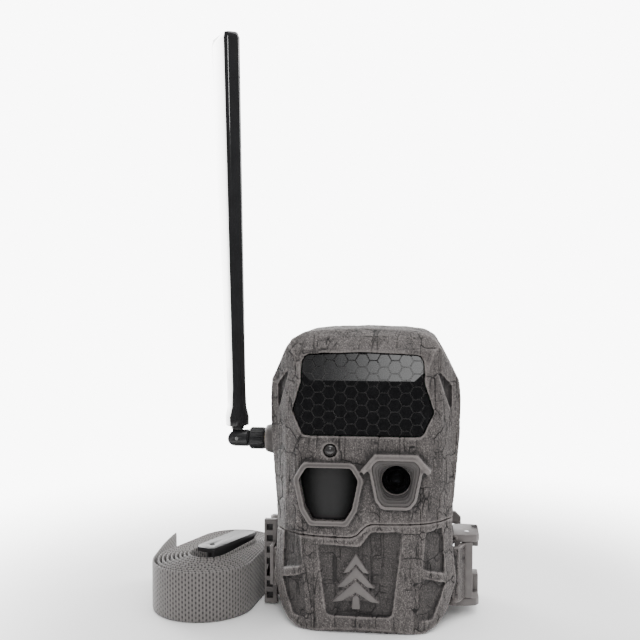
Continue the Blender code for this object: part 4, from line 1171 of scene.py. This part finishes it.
def spiral(settings):
    """The webbing's line seen from above, from its loose end, round the coil and in to the buckle's bar."""
    along = Vector((math.cos(BUCKLE_TURN), math.sin(BUCKLE_TURN)))
    across = Vector((along.y, -along.x))

    def near_buckle(a, b):
        return tuple(Vector(BUCKLE) + along * a + across * b)

    line = list(TAIL)
    turn, end = 184.0, 180 + 360 * settings.turns
    while turn < end:
        done = (turn - 180) / 360
        share = min(1, done / FIRST_TURN)
        lift = 0.9 - 1.4 * share * share * (3 - 2 * share)
        inward = max(0, done - FIRST_TURN) / (settings.turns - FIRST_TURN)
        rings = []
        for outer, (place, radius) in ((COIL_FRONT, EYE_FRONT), (COIL_BACK, EYE_BACK)):
            inner = (*near_buckle(*place), radius)
            rings.append([o + (i - o) * inward for o, i in zip(outer, inner)])
        (fx, fy, fr), (bx, by, br) = rings
        direction = math.degrees(math.atan2(by - fy, bx - fx))
        lean = math.degrees(math.asin((fr - br) / math.hypot(bx - fx, by - fy)))
        around = (turn - direction - 90 + lean) % 360
        cx, cy, radius = rings[0] if around <= 180 + 2 * lean else rings[1]
        heading = math.radians(turn)
        line.append((cx + (radius + lift) * math.cos(heading), cy + (radius + lift) * math.sin(heading)))
        turn += 3
    return np.array(line + [near_buckle(a, b) for a, b in BAR_LOOP])


def evenly(line, step):
    """Points a fixed distance apart along a line."""
    lengths = np.hypot(*np.diff(line, axis=0).T)
    run = np.concatenate([[0], np.cumsum(lengths)])
    count = int(round(run[-1] / step))
    at = np.linspace(0, run[-1], count + 1)
    return np.stack([np.interp(at, run, line[:, i]) for i in range(2)], axis=1), run[-1]


class TRAIL_OT_strap(bpy.types.Operator):
    """Builds the wound webbing and its loose end"""

    bl_idname = "trail.strap"
    bl_label = "Strap"

    def execute(self, context):
        settings = context.scene.trail_strap
        line, _ = evenly(spiral(settings), 1.0)
        for _ in range(6):
            line[1:-1] = 0.5 * line[1:-1] + 0.25 * (line[:-2] + line[2:])
        step = settings.weave_along / 2 / MM
        line, full = evenly(line, step)
        tangent = np.gradient(line, axis=0)
        tangent /= np.hypot(*tangent.T)[:, None]
        side = np.stack([tangent[:, 1], -tangent[:, 0]], axis=1)
        rows = int(round(settings.width / settings.weave_across * 2))
        half, wide = settings.thickness / 2 / MM, settings.width / MM
        body = bmesh.new()
        layer = body.loops.layers.uv.new("strap")
        rings, runs = [], []
        for i, (place, out) in enumerate(zip(line, side)):
            left = (len(line) - 1 - i) * step
            lift = 2.55 * max(0, min(1, (70 - left) / 50))
            lift = 0.1 + lift * lift * (7.65 - 2 * lift) / (2.55 ** 2)
            corners, shares = [], []
            for sign, heights in ((1, range(rows + 1)), (-1, range(rows, -1, -1))):
                for j in heights:
                    edge = 0.5 if j in (0, rows) else 1.0
                    bump = (-0.16 if i % 2 == 0 and (j + i // 2) % 2 else 0.03) * (edge - 0.4)
                    x, y = place + out * sign * (half * edge + bump)
                    corners.append(body.verts.new((x * MM, y * MM, (lift + wide * j / rows) * MM)))
                    shares.append(j / rows)
            rings.append((corners, shares))
            runs.append(i * step * MM)
        for (lower, shares), (upper, _), run, next_run in zip(rings, rings[1:], runs, runs[1:]):
            for j in range(len(lower)):
                k = (j + 1) % len(lower)
                face = body.faces.new((lower[j], lower[k], upper[k], upper[j]))
                values = ((run, shares[j]), (run, shares[k]), (next_run, shares[k]), (next_run, shares[j]))
                for loop, (u, v) in zip(face.loops, values):
                    loop[layer].uv = (u, v * settings.width)
        body.faces.new(rings[0][0])
        body.faces.new(list(reversed(rings[-1][0])))
        bmesh.ops.recalc_face_normals(body, faces=body.faces)
        nodes = ["strap_coil", "strap_end"]
        strap = piece("webbing_strap", mesh_of(body), webbing_material(), "camera", nodes, 0)
        return {"FINISHED"}


class TRAIL_OT_buckle(bpy.types.Operator):
    """Builds the cam buckle"""

    bl_idname = "trail.buckle"
    bl_label = "Buckle"

    def execute(self, context):
        black = context.scene.trail_plastic.black
        material = moulded_material("buckle black", [v * 1.3 for v in black], 0.4, 1900)
        softened("buckle", "buckle_frame", material, "camera", 0.0005)
        softened("cam", "buckle_cam", material, "cam", 0.0004)
        return {"FINISHED"}


class TRAIL_OT_insides(bpy.types.Operator):
    """Gives the batteries, boards, controls and seals their materials"""

    bl_idname = "trail.insides"
    bl_label = "Insides"

    def execute(self, context):
        black = moulded_material("inside black", (0.02, 0.02, 0.021), 0.45)
        softened("tray", "battery_tray", black, "camera", 0.0003)
        softened("controls", "control_panel", black, "camera", 0.0003)
        dress(battery_material(), *numbered("battery", 6))
        dress(metal_material("spring steel", (0.62, 0.61, 0.58), 0.25), *numbered("contact_spring", 6))
        dress(board_material(), "flash_board", "image_board", "main_board")
        rubber = moulded_material("seal rubber", (0.016, 0.016, 0.016), 0.8, 1600, 0.00004)
        dress(rubber, "door_seal", "power_plug")
        dress(moulded_material("button rubber", (0.20, 0.19, 0.18), 0.65), *numbered("setup_button", 3))
        dress(moulded_material("switch plastic", (0.45, 0.16, 0.03), 0.45), "mode_switch")
        dress(moulded_material("card plastic", (0.012, 0.016, 0.03), 0.4), "memory_card")
        return {"FINISHED"}


def battery_material():
    """A wrapped cell: dark body, copper shoulder and bare ends."""
    graph = shader("battery wrap", (0.05, 0.05, 0.055), 0.3, 0.2)
    across = graph.axis(graph.place, "X")
    band = ((across + 0.009) * 1000).math("ABSOLUTE").ramp(16.8, 17.2)
    bare = ((across + 0.009) * 1000).math("ABSOLUTE").ramp(24.6, 24.9)
    scuff = graph.noise(graph.place, (900,) * 3, 3.0)
    tone = graph.blend(band, (0.03, 0.03, 0.033, 1), (0.46, 0.20, 0.06, 1))
    tone = graph.blend(bare, tone, (0.55, 0.55, 0.54, 1))
    return feed(graph, tone, 0.24 + scuff * 0.2, scuff, 0.00001, 0.3)


def board_material():
    """A green circuit board with traces."""
    graph = shader("circuit board", (0.02, 0.10, 0.045), 0.4)
    traces = graph.edges(graph.place, (420, 420, 420), 0.14, 0.6)
    cloud = graph.noise(graph.place, (300,) * 3, 2.0)
    tone = graph.blend(traces * 0.7, (0.015, 0.085, 0.04, 1), (0.05, 0.20, 0.08, 1))
    return feed(graph, tone, 0.34 + cloud * 0.15, traces, 0.00004, 0.5)


def floor_material(settings):
    """A pale floor that fades out away from the camera's subject."""
    graph = shader("floor", settings.floor, 0.6, Specular_IOR_Level=0.1)
    fine = graph.noise(graph.place, (60,) * 3, 2.0)
    tone = graph.blend(fine, shade(settings.floor, 0.99), flat(settings.floor))
    away = graph.scaled(graph.place, (1, 1, 0))
    reach = graph.node("ShaderNodeVectorMath", {"operation": "LENGTH"}, {0: away}, "Value")
    clear = graph.node("ShaderNodeBsdfTransparent")
    solid = Value(graph, graph.shader.outputs[0])
    mixed = graph.node("ShaderNodeMixShader", {}, {0: reach.ramp(0.13, 0.40), 1: solid, 2: clear})
    graph.tree.links.new(mixed.socket, graph.tree.nodes["Material Output"].inputs["Surface"])
    return feed(graph, tone)


class TRAIL_OT_stage(bpy.types.Operator):
    """Sets the floor, the soft light and the camera"""

    bl_idname = "trail.stage"
    bl_label = "Stage"

    def execute(self, context):
        settings = context.scene.trail_stage
        scene = context.scene
        body = bmesh.new()
        corners = [body.verts.new((x, y, -0.0002)) for x, y in ((-3, -3), (3, -3), (3, 3), (-3, 3))]
        body.faces.new(corners)
        floor = scratch("floor", mesh_of(body))
        floor.data.materials.append(floor_material(settings))

        world = bpy.data.worlds.new("studio")
        world.use_nodes = True
        graph = Graph(world.node_tree)
        mirrored = graph.node("ShaderNodeLightPath", {}, {}, "Is Glossy Ray")
        back = world.node_tree.nodes["Background"]
        back.inputs["Color"].default_value = (1, 1, 1, 1)
        seen = graph.node("ShaderNodeLightPath", {}, {}, "Is Camera Ray")
        strength = settings.sky - mirrored * (settings.sky - settings.gloss)
        strength = strength + seen * (settings.backdrop - settings.sky)
        world.node_tree.links.new(strength.socket, back.inputs["Strength"])
        scene.world = world

        target = Vector((0, 0, 0.09))
        for name, place, size, power, lights_all in (
            ("key", (0.05, -0.73, 0.70), (0.22, 0.22), settings.key, True),
            ("top", (0.12, 0.10, 0.95), (0.9, 0.9), settings.top, True),
            ("rim_left", (-0.62, 0.55, 0.45), (0.35, 0.9), settings.rim, True),
            ("rim_right", (0.62, 0.50, 0.45), (0.35, 0.9), settings.rim, True),
            ("gleam_left", (-0.85, 0.55, 0.28), (0.5, 1.0), settings.gleam, False),
            ("gleam_back", (-0.30, 0.95, 0.36), (0.9, 0.35), settings.gleam * 0.3, False),
        ):
            light = bpy.data.lights.new(name, "AREA")
            light.shape = "RECTANGLE"
            light.size, light.size_y = size
            light.energy = power
            lamp = bpy.data.objects.new(name, light)
            lamp.location = place
            lamp.rotation_euler = (target - lamp.location).to_track_quat("-Z", "Y").to_euler()
            lamp.visible_diffuse = lights_all
            scene.collection.objects.link(lamp)

        camera = bpy.data.cameras.new("camera")
        camera.lens = 50
        camera.sensor_width = 36
        camera.clip_start = 0.01
        eye = bpy.data.objects.new("camera", camera)
        eye.location = EYE_PLACE
        eye.rotation_euler = (math.radians(90 - EYE_DIP), 0, math.radians(EYE_TURN))
        scene.collection.objects.link(eye)
        scene.camera = eye
        return {"FINISHED"}


OPERATORS = (
    TRAIL_OT_stage, TRAIL_OT_shells, TRAIL_OT_window, TRAIL_OT_sensors, TRAIL_OT_lens, TRAIL_OT_hinge,
    TRAIL_OT_emblem, TRAIL_OT_latch, TRAIL_OT_bracket, TRAIL_OT_antenna, TRAIL_OT_strap, TRAIL_OT_buckle,
    TRAIL_OT_insides,
)


class TRAIL_PT_panel(bpy.types.Panel):
    """Lists the steps that build the trail camera"""

    bl_idname = "TRAIL_PT_panel"
    bl_label = "Trail camera"
    bl_space_type = "VIEW_3D"
    bl_region_type = "UI"
    bl_category = "Trail camera"

    def draw(self, context):
        for step in OPERATORS:
            self.layout.operator(step.bl_idname)
        for name in SETTINGS:
            group = getattr(context.scene, name)
            box = self.layout.box()
            for key in group.bl_rna.properties.keys():
                if key not in ("rna_type", "name"):
                    box.prop(group, key)


SETTINGS = {
    "trail_bark": BarkSettings, "trail_plastic": PlasticSettings,
    "trail_strap": StrapSettings, "trail_stage": StageSettings,
}


def register():
    for group in SETTINGS.values():
        bpy.utils.register_class(group)
    for step in (*OPERATORS, TRAIL_PT_panel):
        bpy.utils.register_class(step)
    for name, group in SETTINGS.items():
        setattr(bpy.types.Scene, name, PointerProperty(type=group))


def unregister():
    for name in SETTINGS:
        delattr(bpy.types.Scene, name)
    for made in (TRAIL_PT_panel, *reversed(OPERATORS), *SETTINGS.values()):
        bpy.utils.unregister_class(made)


def main():
    register()
    for step in OPERATORS:
        family, name = step.bl_idname.split(".")
        result = getattr(getattr(bpy.ops, family), name)()
        if result != {"FINISHED"}:
            raise RuntimeError(f"{step.bl_label} did not finish")


if __name__ == "__main__":
    main()
